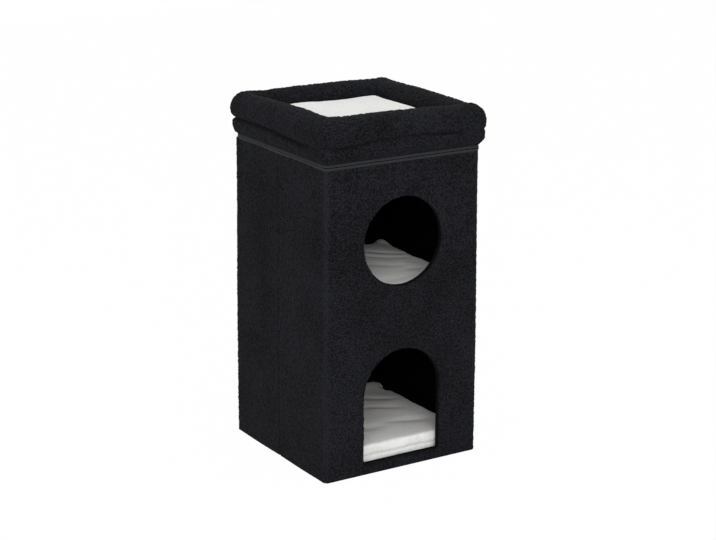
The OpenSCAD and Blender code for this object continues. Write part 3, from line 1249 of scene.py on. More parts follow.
@dataclass
class Walls:
    """Plush walls with their boards, linings, hem, binding and ledges."""

    plush_t: float = 5 * MM
    wall_t: float = 11.5 * MM
    board_in: float = 10 * MM
    turn_in_t: float = 4 * MM
    height: float = 677 * MM
    foot: float = 2.5 * MM
    step: float = 2.2 * MM
    lining_step: float = 9 * MM
    lip: float = 2 * MM
    lip_in: float = 1.4 * MM
    heel: float = 1.5 * MM
    tape_t: float = 0.5 * MM
    tape_wrap: float = 4.2 * MM
    tape_lap: float = 0.2 * MM
    hem_round: float = 0.3 * MM
    binding_round: float = 1.1 * MM
    batten_round: float = 1 * MM
    stand_out: float = 3.2 * MM
    crease_depth: float = 1.7 * MM
    crease_width: float = 3.2 * MM
    half_bow: float = 1.0 * MM
    seam: float = 4 * MM
    border: float = 10 * MM
    # Width of the painted highlight along the corner seams
    worn_width: float = 6 * MM
    rear_pile: float = 0.3
    slack: float = 0.25 * MM
    slack_wave: float = 80 * MM
    pile: Pile = field(default_factory=Pile)

    def build(self) -> None:
        """Makes and dresses all pieces of the walls."""
        for seed, side in enumerate(Side, 1):
            self.plush_wall(side, seed)
            self.lining(side, seed)
            for kind, width in (("hem", self.hem_round), ("binding", self.binding_round)):
                node = f"{kind}_{side.word}"
                dressed(bevelled_copy(f"{node}_band", [node], width, 3), BINDING, Body.CARCASS, node)
        for node in ("board_front", "board_back", "board_left_front", "board_left_rear",
                     "board_right_front", "board_right_rear"):
            painted_node(node, FIBREBOARD)
        for node in ("ledge_front", "ledge_back"):
            dressed(bevelled_copy(f"{node}_batten", [node], self.batten_round), BATTEN, Body.CARCASS, node)
        for hole in ENTRANCES:
            self.entrance_tape(hole)

    def entrance_tape(self, hole: Hole) -> None:
        """Binds the inside of an entrance with a black tape that turns onto the lining, its colour darkened
        as painted shade for the reveal.

        Args:
            hole: The entrance.
        """
        rear, thick = self.wall_t, self.tape_t
        under = rear - self.tape_lap
        section = [(1.6 * MM, 1.9 * MM), (1.1 * MM, 2.1 * MM), (0.9 * MM, 2.8 * MM), (0.9 * MM, rear),
                   (1.1 * MM, rear + 0.8 * thick), (1.6 * MM, rear + thick), (self.tape_wrap, rear + thick),
                   (self.tape_wrap, under), (1.6 * MM, under)]
        places, outs = (run[::4] for run in hole.edge())
        points = np.stack([np.insert(places + away * outs, 1, depth - FOOTPRINT.half, axis=1)
                           for away, depth in section], 1)
        # The tape's dark colour is painted shade for the entrance's reveal
        dressed(swept(f"{hole.word}_tape", points, True), EDGE_TAPE_PAINTED_SHADE, Body.CARCASS)

    def lip_profile(self) -> tuple[tuple[float, float], ...]:
        """Gives the section of the pile turned in round an entrance.

        Returns:
            Its corners: distance from the entrance's edge, and depth.
        """
        back, heel, rear = self.lip_in, self.heel, self.wall_t
        turn = np.radians(np.linspace(0, 90, 6))
        soft = [(back + self.lip * (1 - math.sin(t)), self.lip * (1 - math.cos(t))) for t in turn]
        return tuple(soft + [(back, 0.5 * (self.lip + rear)), (back, rear - heel),
                             (back + 0.3 * heel, rear - 0.3 * heel), (back + heel, rear),
                             (self.turn_in_t, rear), (self.turn_in_t, self.plush_t)])

    def plush_wall(self, side: Side, seed: int) -> None:
        """Makes one wall's plush, with its crease, seams and raised pile.

        Args:
            side: The wall's side.
            seed: Shifts the pile's pattern.
        """
        front = side is Side.FRONT
        panel = WallPanel(0.0, self.plush_t, 0.0, self.height, self.step,
                          ENTRANCES if front else (), self.lip_profile() if front else ())
        piece = panel.build(f"plush_wall_{side.word}")
        points = points_of(piece)
        across, depth = np.abs(points[:, 0]), points[:, 1] + FOOTPRINT.half
        turn = np.arcsin(np.clip((across - FOOTPRINT.flat) / FOOTPRINT.corner, 0, 1))
        to_seam = FOOTPRINT.reach - np.where(turn > 0, FOOTPRINT.flat + FOOTPRINT.corner * turn, across)
        turned_in = (across < FOOTPRINT.flat - self.border) & (depth > self.plush_t + TOUCH)
        shown = (depth < self.plush_t - TOUCH) | turned_in
        if side.folds:
            points[:, 1] += np.where(depth < 1 * MM, self.crease(points), 0)
        points += self.spread(points, depth)
        move_points(piece, side.place(points))
        head = smoothstep(points[:, 2], self.height - 8 * MM, self.height - 2 * MM)
        ends = smoothstep(points[:, 2], 0, 3 * MM) * (1 - head)
        sides = smoothstep(to_seam, 0.2 * MM, self.seam)
        set_weight(piece, "pile", shown * ends * sides * np.where(depth > 9 * MM, self.rear_pile, 1))
        # Painted highlight along the corner seams, partly for pile stretched there: the weight that lightens
        # the plush
        set_weight(piece, "worn", np.exp(-(to_seam / self.worn_width) ** 2))
        self.pile.raise_on(piece, PLUSH, seed)
        dressed(piece, PLUSH, Body.CARCASS, f"plush_{side.word}")

    def spread(self, points: Points, depth: Points) -> Points:
        """Lets the plush stand out from its board, more towards the foot.

        Args:
            points: The wall's points, on the front.
            depth: Their depths from the CAD wall's face.

        Returns:
            The points' steps.
        """
        held = smoothstep(points[:, 2], 0.3 * self.height, self.height - 4 * MM)
        size = self.stand_out * (1 - 0.9 * held) * (1 - smoothstep(depth, 0, self.plush_t))
        flat, corner = FOOTPRINT.flat, FOOTPRINT.corner
        edge = smoothstep(np.abs(points[:, 0]), flat - 30 * MM, flat + 0.5 * corner)
        return np.stack([np.sign(points[:, 0]) * size * edge, -size, np.zeros(len(points))], -1)

    def crease(self, points: Points) -> Points:
        """Shapes the fold down a side's middle and the slight bow of its two halves.

        Args:
            points: The wall's points, on the front.

        Returns:
            How far each point goes in.
        """
        across = np.abs(points[:, 0])
        fold = self.crease_depth * np.exp(-(across / self.crease_width) ** 2)
        bow = self.half_bow * np.sin(math.pi * np.clip(across / FOOTPRINT.flat, 0, 1)) ** 2
        return fold - bow

    def lining(self, side: Side, seed: int) -> None:
        """Makes one wall's lining, slightly slack between its glued edges.

        Args:
            side: The wall's side.
            seed: Fixes the slack's ripples.
        """
        front = side is Side.FRONT
        lip = ((self.turn_in_t, self.wall_t), (self.turn_in_t, self.board_in))
        panel = WallPanel(self.wall_t, self.board_in, self.foot, self.height, self.lining_step,
                          ENTRANCES if front else (), lip if front else (), self.board_in)
        piece = panel.build(f"wall_lining_{side.word}")
        points = points_of(piece)
        shown = np.abs(points[:, 1] + FOOTPRINT.half - self.wall_t) < TOUCH
        sway = self.slack * ripple(points, self.slack_wave, 40 + seed)
        points[:, 1] += np.where(shown, sway - self.slack, 0)
        move_points(piece, side.place(points))
        dressed(piece, LINING_PAINTED_SHADE, Body.CARCASS, f"lining_{side.word}")


@dataclass
class Swelling:
    """One stuffed piece's cloth simulation."""

    piece: bpy.types.Object
    held: Callable[[Points], Points]
    cap: float
    pressure: float = 4.0
    slack: float = 0.0
    rest: Points = field(init=False)

    def start(self) -> None:
        """Adds the cloth with its pressure and its held points."""
        self.rest = points_of(self.piece)
        group = self.piece.vertex_groups.new(name="held")
        held = self.held(self.rest)
        for k in np.flatnonzero(held > 0):
            group.add([int(k)], float(held[k]), "REPLACE")
        cloth = self.piece.modifiers.new("swell", "CLOTH")
        settings = cloth.settings
        settings.quality = 5
        settings.mass = 0.2
        settings.tension_stiffness = settings.compression_stiffness = 12
        settings.shear_stiffness = 6
        settings.bending_stiffness = 0.3
        settings.use_pressure = True
        settings.uniform_pressure_force = self.pressure
        settings.shrink_min = -self.slack
        settings.vertex_group_mass = "held"
        settings.effector_weights.gravity = 0
        cloth.collision_settings.use_collision = False
        cloth.point_cache.frame_start, cloth.point_cache.frame_end = 1, SWELL_FRAMES

    def settle(self) -> None:
        """Takes the swollen shape, with no point moved further than the cap."""
        swollen = self.piece.evaluated_get(bpy.context.evaluated_depsgraph_get())
        step = points_in(swollen.to_mesh()) - self.rest
        swollen.to_mesh_clear()
        size = np.linalg.norm(step, axis=1, keepdims=True)
        share = np.minimum(1, self.cap / np.maximum(size, 1e-9))
        self.piece.modifiers.clear()
        self.piece.vertex_groups.clear()
        move_points(self.piece, self.rest + step * share)
        LOG.info("%s swells by up to %.1f mm", self.piece.name, 1000 * float((size * share).max()))


def swell(jobs: Sequence[Swelling]) -> None:
    """Runs the cloth of all stuffed pieces together, then subdivides them.
    """
    scene = bpy.context.scene
    scene.frame_set(1)
    for job in jobs:
        job.start()
    for number in range(1, SWELL_FRAMES + 1):
        scene.frame_set(number)
    for job in jobs:
        job.settle()
    scene.frame_set(1)
    for job in jobs:
        subdivided(job.piece)


@dataclass(frozen=True)
class Crease:
    """A soft fold pressed into a cushion's top, or a swell if its depth is negative, in mm and degrees."""

    x: float
    y: float
    way: float
    length: float
    width: float
    depth: float

    def dent(self, points: Points) -> Points:
        """Finds how far the fold lowers each point.

        Args:
            points: The cushion's points.

        Returns:
            The drops, in metres.
        """
        turn = math.radians(self.way)
        step = points[:, :2] / MM - (self.x, self.y)
        along = step @ (math.cos(turn), math.sin(turn))
        waver = 0.015 * self.length * np.sin(along / (0.14 * self.length))
        across = step @ (-math.sin(turn), math.cos(turn)) + waver
        ends = 1 - smoothstep(np.abs(along), 0.12 * self.length, 0.55 * self.length)
        return self.depth * MM * ends * np.exp(-(across / self.width) ** 2)


SHELF_FOLDS = (Crease(112, 75, -38, 170, 10, 3.4), Crease(98, 37, -32, 160, 10, 3.2),
               Crease(68, -26, -30, 130, 15, 2.5), Crease(112, -74, -8, 120, 13, 2.5),
               Crease(126, 174, 0, 84, 16, 7), Crease(175, 168, 90, 130, 13, -9),
               Crease(-60, 90, -30, 190, 16, 3), Crease(-90, -60, 35, 170, 18, 3),
               Crease(10, -120, 5, 160, 20, 2.5))
FLOOR_FOLDS = (Crease(80, 90, -35, 190, 12, 3.6), Crease(60, 30, -28, 170, 13, 3.2),
               Crease(-70, 60, 20, 180, 16, 3), Crease(-40, -70, -15, 170, 16, 3),
               Crease(90, -80, -10, 140, 14, 3), Crease(125, 168, 0, 190, 30, -6))
BED_RIM = (Crease(-95, 124, 0, 250, 34, -5), Crease(118, 128, 0, 120, 26, -2.5),
           Crease(132, 20, 90, 280, 26, -2.5))


@dataclass
class Cushion:
    """A loose stuffed cushion."""

    node: str
    body: Body
    seed: int
    creases: tuple[Crease, ...] = ()
    voxel: float = 5 * MM
    tuck: float = 3 * MM
    low_tuck: float = 0.7
    draw: float = 2.5 * MM
    cap: float = 6 * MM
    slack: float = 0.06
    fill: float = 0.6
    rim: float = 30 * MM
    seam_drop: float = 3 * MM
    seam_width: float = 3 * MM
    seam_depth: float = 2.2 * MM
    wrinkle: float = 0.8 * MM
    wrinkle_wave: float = 60 * MM
    side_room: float = 0.8 * MM
    head_room: float = 8 * MM
    pile: Pile = field(default_factory=lambda: Pile(5 * MM, 0.35 * MM, 0.5 * MM))
    low: Points = field(init=False)
    high: Points = field(init=False)

    def job(self) -> Swelling:
        """Copies the CAD cushion a little smaller and readies it to swell.

        Returns:
            The simulation to run.
        """
        piece = cad_copy(f"{self.node}_cover", [self.node])
        points = points_of(piece)
        self.low, self.high = points.min(0), points.max(0)
        middle = (self.low + self.high) / 2
        size = (self.high - self.low) / 2
        shrink = 1 - self.tuck * np.array([1, 1, self.low_tuck]) / size
        anchor = np.array([middle[0], middle[1], self.low[2]])
        move_points(piece, anchor + (points - anchor) * shrink)
        smooth(evened(piece, self.voxel, 3))
        return Swelling(piece, self.rests, self.cap, slack=self.slack)

    def rests(self, points: Points) -> Points:
        """Holds the part of the underside that lies on the board."""
        edge = self.high[0] - square_reach(points)
        return ((points[:, 2] < self.low[2] + 4 * MM) & (edge > 22 * MM)).astype(float)

    def finish(self, piece: bpy.types.Object) -> None:
        """Adds the seam and the wrinkles, keeps the cushion in its place, and dresses it.

        Args:
            piece: The swollen cushion.
        """
        points = points_of(piece)
        middle = 0.5 * (self.low[2] + self.high[2]) - self.seam_drop
        edge = self.high[0] - square_reach(points)
        groove = np.exp(-((points[:, 2] - middle) / self.seam_width) ** 2)
        groove *= smoothstep(-edge, -self.rim, -12 * MM)
        reach = np.maximum(np.linalg.norm(points[:, :2], axis=1), 1 * MM)
        points[:, :2] *= 1 - (self.seam_depth * groove / reach)[:, None]
        rim = 1 - smoothstep(edge, 0, self.rim)
        along = np.min(np.abs(points[:, :2]), axis=1) / self.high[0]
        points[:, :2] *= 1 - (self.draw * rim * np.clip(1 - along ** 2, 0, 1))[:, None] / self.high[0]
        crown = smoothstep(points[:, 2], middle, self.high[2] - 6 * MM)
        for crease in self.creases:
            points[:, 2] -= crown * crease.dent(points)
        points[:, 2] += crown * self.wrinkle * ripple(points, self.wrinkle_wave, self.seed)
        limit = self.high[:2] + self.side_room
        points[:, :2] = np.clip(points[:, :2], -limit, limit)
        points[:, 2] = np.clip(points[:, 2], self.low[2], self.high[2] + self.head_room)
        move_points(piece, points)
        set_weight(piece, "pile", smoothstep(points[:, 2], self.low[2] + 1 * MM, self.low[2] + 8 * MM))
        self.pile.raise_on(piece, CUSHION_PLUSH, self.seed)
        dressed(piece, CUSHION_PLUSH, self.body, self.node)


@dataclass
class Deck:
    """The floor or the shelf: a board in its felt, with its cushion."""

    name: str
    body: Body
    cushion: Cushion
    felt_round: float = 0.5 * MM

    def build(self) -> None:
        """Dresses the board and makes its felt."""
        painted_node(f"{self.name}_board", FIBREBOARD)
        felt = bevelled_copy(f"{self.name}_felt_cover", [f"{self.name}_felt"], self.felt_round)
        dressed(felt, FELT, self.body, f"{self.name}_felt")


@dataclass
class Lid:
    """The lid: its board and lining, the bed's pad, and the plush skirt and bolster round it."""

    foot: float = 724 * MM
    skirt_low: float = 686 * MM
    tape_head: float = 687.6 * MM
    skirt_in: float = 4 * MM
    bulge: float = 13 * MM
    crest: float = 172 * MM
    shift: tuple[float, float] = (1.5 * MM, -1.0 * MM)
    settled: tuple[float, ...] = (2.0 * MM, -5.0 * MM, -6.3 * MM, -3.5 * MM)
    well_half: float = 138 * MM
    well_low: float = 703 * MM
    voxel: float = 5 * MM
    thinned: float = 1.2 * MM
    slack: float = 0.03
    corner_pull: float = 4 * MM
    corner_seam: float = 3.5 * MM
    corner_peak: float = 2.4 * MM
    peak_width: float = 26 * MM
    skirt_step: float = 4.4 * MM
    well_step: float = 6 * MM
    lining_round: float = 0.4 * MM
    pad_round: float = 3 * MM
    pile: Pile = field(default_factory=lambda: Pile(6.5 * MM, 1.7 * MM, 2.2 * MM))
    bolster: bpy.types.Object = field(init=False)
    skirt: bpy.types.Object = field(init=False)

    def jobs(self) -> list[Swelling]:
        """Makes the soft pieces and readies them to swell.

        Returns:
            The simulations to run.
        """
        self.bolster = cad_copy("bolster_ring", [f"bolster_{side.word}" for side in Side], True)
        evened(self.bolster, self.voxel, 2)
        smooth(with_modifier(self.bolster, "DISPLACE", strength=-self.thinned, mid_level=0))
        self.skirt = self.skirt_ring()
        return [Swelling(self.bolster, self.bolster_held, 1.8 * MM, 4.0, self.slack),
                Swelling(self.skirt, self.skirt_held, 1.5 * MM, 3.0, self.slack)]

    def bolster_held(self, points: Points) -> Points:
        """Holds the bolster's foot."""
        return (points[:, 2] < self.foot + 4 * MM).astype(float)

    def skirt_held(self, points: Points) -> Points:
        """Holds the skirt where it is sewn along its upper and lower edges and to the rails."""
        edge = np.minimum(points[:, 2] - self.tape_head, self.foot - 1 * MM - points[:, 2])
        return ((edge < 2 * MM) | (square_reach(points) < FOOTPRINT.half - 1 * MM)).astype(float)

    def skirt_ring(self) -> bpy.types.Object:
        """Sweeps the skirt's section round the lid, from plain to drawn in below the bolster.

        Returns:
            The closed ring.
        """
        fall = [(0.2, 687.8), (3.0, 690.3), (6.6, 695.7), (9.4, 702.5), (11.2, 709)]
        plain = [(12.1, 716), (12.1, 719.5), (12.0, 723), (11.3, 726), (9.6, 729), (6.6, 731.3),
                 (3.5, 732.5)]
        drawn = [(11.6, 714), (10.8, 717), (8.6, 719.6), (5.4, 720.8), (2.2, 721.6), (0.2, 724),
                 (-0.6, 732.5)]
        top = self.foot + 8.5 * MM
        rings = []
        for head in (plain, drawn):
            section = [(-self.skirt_in, top), (-self.skirt_in, self.skirt_low), (-0.6 * MM, self.skirt_low),
                       (-0.6 * MM, self.tape_head)] + [(out * MM, height * MM) for out, height in fall + head]
            rings.append(sweep_ring("skirt_ring", section, self.skirt_step))
        whole, creased = rings
        points = points_of(whole)
        move_points(whole, points + self.crease(points)[:, None] * (points_of(creased) - points))
        bpy.data.objects.remove(creased)
        return whole

    def finish(self) -> None:
        """Details and dresses every piece of the lid."""
        self.finish_bolster()
        self.finish_skirt()
        lining = bevelled_copy("lid_lining_tray", ["lid_lining"], self.lining_round)
        dressed(lining, LINING_PAINTED_SHADE, Body.LID, "lid_lining")
        for node, finish in [("lid_board", FIBREBOARD)] + [(f"rail_{side.word}", FOAM) for side in Side]:
            painted_node(node, finish)
        self.well()

    def finish_bolster(self) -> None:
        """Sewn creases in the bolster's inner corners, then the pile."""
        points = points_of(self.bolster)
        square = square_reach(points)
        mitre = np.abs(np.abs(points[:, 0]) - np.abs(points[:, 1])) / math.sqrt(2)
        inner = 1 - smoothstep(square, FOOTPRINT.half - 36 * MM, FOOTPRINT.half - 20 * MM)
        loose = smoothstep(points[:, 2], self.foot + 1 * MM, self.foot + 14 * MM)
        outward = ways_out(points)
        pull = self.corner_pull * np.exp(-(mitre / self.corner_seam) ** 2) * inner * loose
        points[:, :2] += outward * pull[:, None]
        points[:, 2] += loose * self.sag(points)
        peak = np.exp(-((np.abs(points[:, :2]) - self.crest) ** 2).sum(1) / self.peak_width ** 2)
        upper = smoothstep(points[:, 2], self.foot + 25 * MM, self.foot + 50 * MM)
        points[:, 2] += self.corner_peak * peak * upper
        swell_out = 1.0 * MM * ripple(points, 90 * MM, 21) * loose
        outer = smoothstep(square, FOOTPRINT.half - 20 * MM, FOOTPRINT.half)
        points[:, :2] += outward * (swell_out * outer)[:, None]
        points[:, 2] += 0.7 * MM * ripple(points, 110 * MM, 22) * loose
        belly = outer * (1 - smoothstep(points[:, 2], self.foot, self.foot + 28 * MM))
        points[:, :2] += outer[:, None] * self.shift
        points[:, 2] -= self.droop(points) * belly
        keep = np.maximum(1, self.well_half / np.maximum(square, 1e-6))
        points[:, :2] *= np.where(square > 100 * MM, keep, 1)[:, None]
        move_points(self.bolster, points)
        sewn = smoothstep(points[:, 2], self.foot + 0.5 * MM, self.foot + 4 * MM)
        outside = 0.35 + 0.65 * smoothstep(square, self.well_half, self.well_half + 6 * MM)
        set_weight(self.bolster, "pile", sewn * outside)
        self.pile.raise_on(self.bolster, PLUSH, 9)
        dressed(self.bolster, PLUSH, Body.LID, *[f"bolster_{side.word}" for side in Side])

    def sag(self, points: Points) -> Points:
        """Tilts the bolster by its four corners, the near left one first.

        Args:
            points: The bolster's points.

        Returns:
            How far each stands above its drawn place.
        """
        u, v = np.clip(points[:, :2] / self.crest, -1, 1).T
        shares = (1 - u) * (1 - v), (1 + u) * (1 - v), (1 + u) * (1 + v), (1 - u) * (1 + v)
        return sum(share * height for share, height in zip(shares, self.settled)) / 4

    def droop(self, points: Points) -> Points:
        """Hangs the seam between bolster and skirt, on the left towards the front, elsewhere at the corners.

        Args:
            points: Points of either piece.

        Returns:
            How far each hangs down.
        """
        left = smoothstep(-points[:, 0], FOOTPRINT.half - 40 * MM, FOOTPRINT.half - 5 * MM)
        near = smoothstep(-points[:, 1], -60 * MM, 170 * MM)
        ends = smoothstep(np.abs(points[:, :2]).min(1), 40 * MM, 185 * MM)
        arch = left * (1 + 7 * near) + (1 - left) * (8 * ends - 3)
        return arch * MM + 1.2 * MM * ripple(points * (1, 1, 0), 110 * MM, 33)

    def crease(self, points: Points) -> Points:
        """Opens that seam's crease, fully on the left as far as the near corner and in patches elsewhere.

        Args:
            points: The skirt's points.

        Returns:
            How open it is at each, from 0 to 1.
        """
        left = smoothstep(-points[:, 0], FOOTPRINT.half - 20 * MM, FOOTPRINT.half - 5 * MM)
        left *= smoothstep(points[:, 1], -165 * MM, -95 * MM)
        patches = 0.3 + 0.5 * ripple(points * (1, 1, 0), 70 * MM, 34)
        return np.maximum(left, np.clip(patches, 0, 0.6) * (1 - smoothstep(points[:, 0], 110 * MM, 170 * MM)))

    def finish_skirt(self) -> None:
        """Uneven fall of the skirt's fold, then the pile."""
        points = points_of(self.skirt)
        square = square_reach(points)
        share = smoothstep(square, FOOTPRINT.half, FOOTPRINT.half + self.bulge)
        outward = ways_out(points)
        right = smoothstep(points[:, 0], 100 * MM, 180 * MM)
        rear = smoothstep(points[:, 1] - points[:, 0], 240 * MM, 360 * MM)
        low = np.exp(-((points[:, 2] - self.tape_head - 9 * MM) / (9 * MM)) ** 2)
        swing = 1.3 * MM * ripple(points, 80 * MM, 31) + (1 + 3 * low) * MM * right - 3 * MM * rear
        points[:, :2] += outward * (share * swing)[:, None] + share[:, None] * self.shift
        points[:, 2] -= self.droop(points) * smoothstep(points[:, 2], self.foot - 32 * MM, self.foot - 4 * MM)
        move_points(self.skirt, points)
        set_weight(self.skirt, "pile", smoothstep(square, FOOTPRINT.half - 0.5 * MM, FOOTPRINT.half + 3 * MM))
        self.pile.raise_on(self.skirt, PLUSH, 11)
        dressed(self.skirt, PLUSH, Body.LID, *[f"skirt_{side.word}" for side in Side])

    def well(self) -> None:
        """Lines the bed's well: plush over and down the rails and a covered pad under the cushion."""
        inset = FOOTPRINT.half - self.well_half
        section = [(14 * MM - inset, self.foot), (-inset, self.foot), (-inset, self.well_low - 12 * MM),
                   (-inset - 0.6 * MM, self.well_low - 12 * MM), (-inset - 0.9 * MM, self.well_low + 6 * MM),
                   (-inset - 0.7 * MM, self.foot + 0.4 * MM), (-inset - 0.2 * MM, self.foot + 1.1 * MM),
                   (4 * MM - inset, self.foot + 1.4 * MM), (14 * MM - inset, self.foot + 1 * MM)]
        wall = sweep_ring("well_wall", section, self.well_step, Footprint(FOOTPRINT.half, inset + 6 * MM))
        dressed(wall, PLUSH, Body.LID)
        pad = bevelled_copy("bed_base_cover", ["lid_foam"], self.pad_round, 4)
        dressed(pad, LINING_PAINTED_SHADE, Body.LID, "lid_foam")


def sweep_ring(name: str, section: Sequence[tuple[float, float]], step: float,
               footprint: Footprint = FOOTPRINT) -> bpy.types.Object:
    """Sweeps a closed section round the outline of the walls.

    Args:
        name: The object's name.
        section: Corners of the section: distance out from the walls, and height.
        step: Spacing along the sides.
        footprint: The outline, with its corners' radius.

    Returns:
        The closed ring.
    """
    places, outs = footprint.ring(step)
    points = np.empty((len(places), len(section), 3))
    for k, (away, height) in enumerate(section):
        points[:, k, :2] = places + away * outs
        points[:, k, 2] = height
    return swept(name, points, True)


def swept(name: str, points: Points, ring: bool) -> bpy.types.Object:
    """Joins the sections along a run into a closed skin.

    Args:
        name: The object's name.
        points: The corners of each section along the run.
        ring: Whether the run's end meets its start; otherwise both ends are capped.

    Returns:
        The closed piece.
    """
    count, corners = points.shape[:2]
    faces: list[Sequence[int]] = []
    for here in range(count if ring else count - 1):
        start, after = here * corners, (here + 1) % count * corners
        for k in range(corners):
            beside = (k + 1) % corners
            faces.append((start + k, after + k, after + beside, start + beside))
    if not ring:
        faces += [tuple(range(corners)), tuple((count - 1) * corners + k for k in range(corners))]
    return outward_faces(mesh_object(name, points.reshape(-1, 3), faces))


def outward_faces(piece: bpy.types.Object) -> bpy.types.Object:
    """Turns a closed piece's faces outwards.

    Args:
        piece: The object.

    Returns:
        The same object.
    """
    made = bmesh.new()
    made.from_mesh(piece.data)
    bmesh.ops.remove_doubles(made, verts=made.verts, dist=FINE_WELD)
    bmesh.ops.recalc_face_normals(made, faces=made.faces)
    made.to_mesh(piece.data)
    made.free()
    smooth(piece)
    return piece


@dataclass
class ZipHalf:
    """One half of the zip: its tape, teeth, stitches and end stops."""

    word: str
    body: Body
    foot: float
    head: float
    teeth: float
    tape_t: float = 0.8 * MM
    bead: float = 1.4 * MM
    pitch: float = 2.0 * MM
    stitch_pitch: float = 3.4 * MM
    stitch_in: float = 1.1 * MM
    end: float = 176 * MM
    stop_in: float = 2.5 * MM
    tooth_l: float = 1.15 * MM
    tooth_soft: float = 0.28 * MM
    stitch_size: tuple[float, float, float] = (2.3 * MM, 0.5 * MM, 0.55 * MM)
    stitch_soft: float = 0.2 * MM
    stop_size: tuple[float, float, float] = (3 * MM, 1.9 * MM, 1.9 * MM)
    stop_soft: float = 0.4 * MM

    def path(self, out: float, height: float, step: float = 2 * MM) -> Points:
        """The zip's run from the left side's rear end, round the front, to the right side's.

        Args:
            out: Distance out from the walls.
            height: Height of the run.
            step: Spacing along the sides.

        Returns:
            The places along the run.
        """
        flat, corner = FOOTPRINT.flat, FOOTPRINT.corner + out
        straight = np.linspace(-flat, flat, int(2 * flat / step) + 1)
        rear = np.linspace(self.end, -flat, len(straight))
        bend = np.radians(np.linspace(0, 90, 12))[1:-1]
        left = np.stack([np.full_like(rear, -flat - corner), rear], -1)
        turn = np.stack([-flat - corner * np.cos(bend), -flat - corner * np.sin(bend)], -1)
        front = np.stack([straight, np.full_like(straight, -flat - corner)], -1)
        mirrored = np.concatenate([left, turn])[::-1] * (-1, 1)
        plan = np.concatenate([left, turn, front, mirrored])
        return np.hstack([plan, np.full((len(plan), 1), height)])

    def build(self) -> None:
        """Makes and dresses the tape, the teeth, the stitches and the stops."""
        tape = self.tape()
        dressed(tape, TAPE, self.body, f"zip_{self.word}")
        tooth = item("tooth", (self.tooth_l, self.bead, self.bead), self.tooth_soft)
        self.row(f"zip_teeth_{self.word}", tooth, self.tape_t + self.bead / 2, self.teeth, self.pitch, NYLON)
        stitch = item("stitch", self.stitch_size, self.stitch_soft)
        edge = self.foot + self.stitch_in if self.word == "lower" else self.head - self.stitch_in
        self.row(f"zip_stitches_{self.word}", stitch, self.tape_t + 0.1 * MM, edge, self.stitch_pitch, THREAD)
        self.stops()

    def tape(self) -> bpy.types.Object:
        """Sweeps the tape as a thin strip with rounded edges.

        Returns:
            The strip.
        """
        soft = 0.25 * MM
        section = [(0, self.foot), (self.tape_t - soft, self.foot), (self.tape_t, self.foot + soft),
                   (self.tape_t, self.head - soft), (self.tape_t - soft, self.head), (0, self.head)]
        points = np.stack([self.path(out, height) for out, height in section], 1)
        return swept(f"zip_tape_{self.word}", points, False)

    def row(self, name: str, shape: bpy.types.Object, out: float, height: float, pitch: float,
            finish: Finish) -> None:
        """Sets one item along the zip by Geometry Nodes.

        Args:
            name: The piece's name.
            shape: The item.
            out: Distance of the items' middles out from the walls.
            height: Height of their middles.
            pitch: Spacing.
            finish: Their finish.
        """
        run = self.path(out, height)
        piece = mesh_object(name, run, (), [(k, k + 1) for k in range(len(run) - 1)])
        grown(piece, run_tree(), Item=shape, Pitch=pitch, Material=finish.material())
        bpy.data.objects.remove(shape)
        dressed(piece, finish, self.body)

    def stops(self) -> None:
        """Metal stops at both ends of the teeth."""
        block = item("stop", self.stop_size, self.stop_soft)
        points, faces = points_of(block), [tuple(p.vertices) for p in block.data.polygons]
        bpy.data.objects.remove(block)
        turned = points[:, [1, 0, 2]]
        reach = FOOTPRINT.half + self.tape_t + self.bead / 2
        ends = [turned + np.array([side * reach, self.end - self.stop_in, self.teeth]) for side in (-1, 1)]
        both = faces + [tuple(k + len(points) for k in f) for f in faces]
        piece = outward_faces(mesh_object(f"zip_stops_{self.word}", np.concatenate(ends), both))
        dressed(piece, ZINC, self.body)


def item(name: str, size: tuple[float, float, float], soft: float) -> bpy.types.Object:
    """A small block with chamfered edges, for setting along a run.

    Args:
        name: The object's name.
        size: Its length, depth and height.
        soft: Width of its chamfers.

    Returns:
        The object.
    """
    made = bmesh.new()
    bmesh.ops.create_cube(made, size=1)
    bmesh.ops.scale(made, vec=size, verts=made.verts)
    bmesh.ops.bevel(made, geom=list(made.edges), offset=soft, segments=1, profile=0.5, affect="EDGES")
    return from_bmesh(name, made)


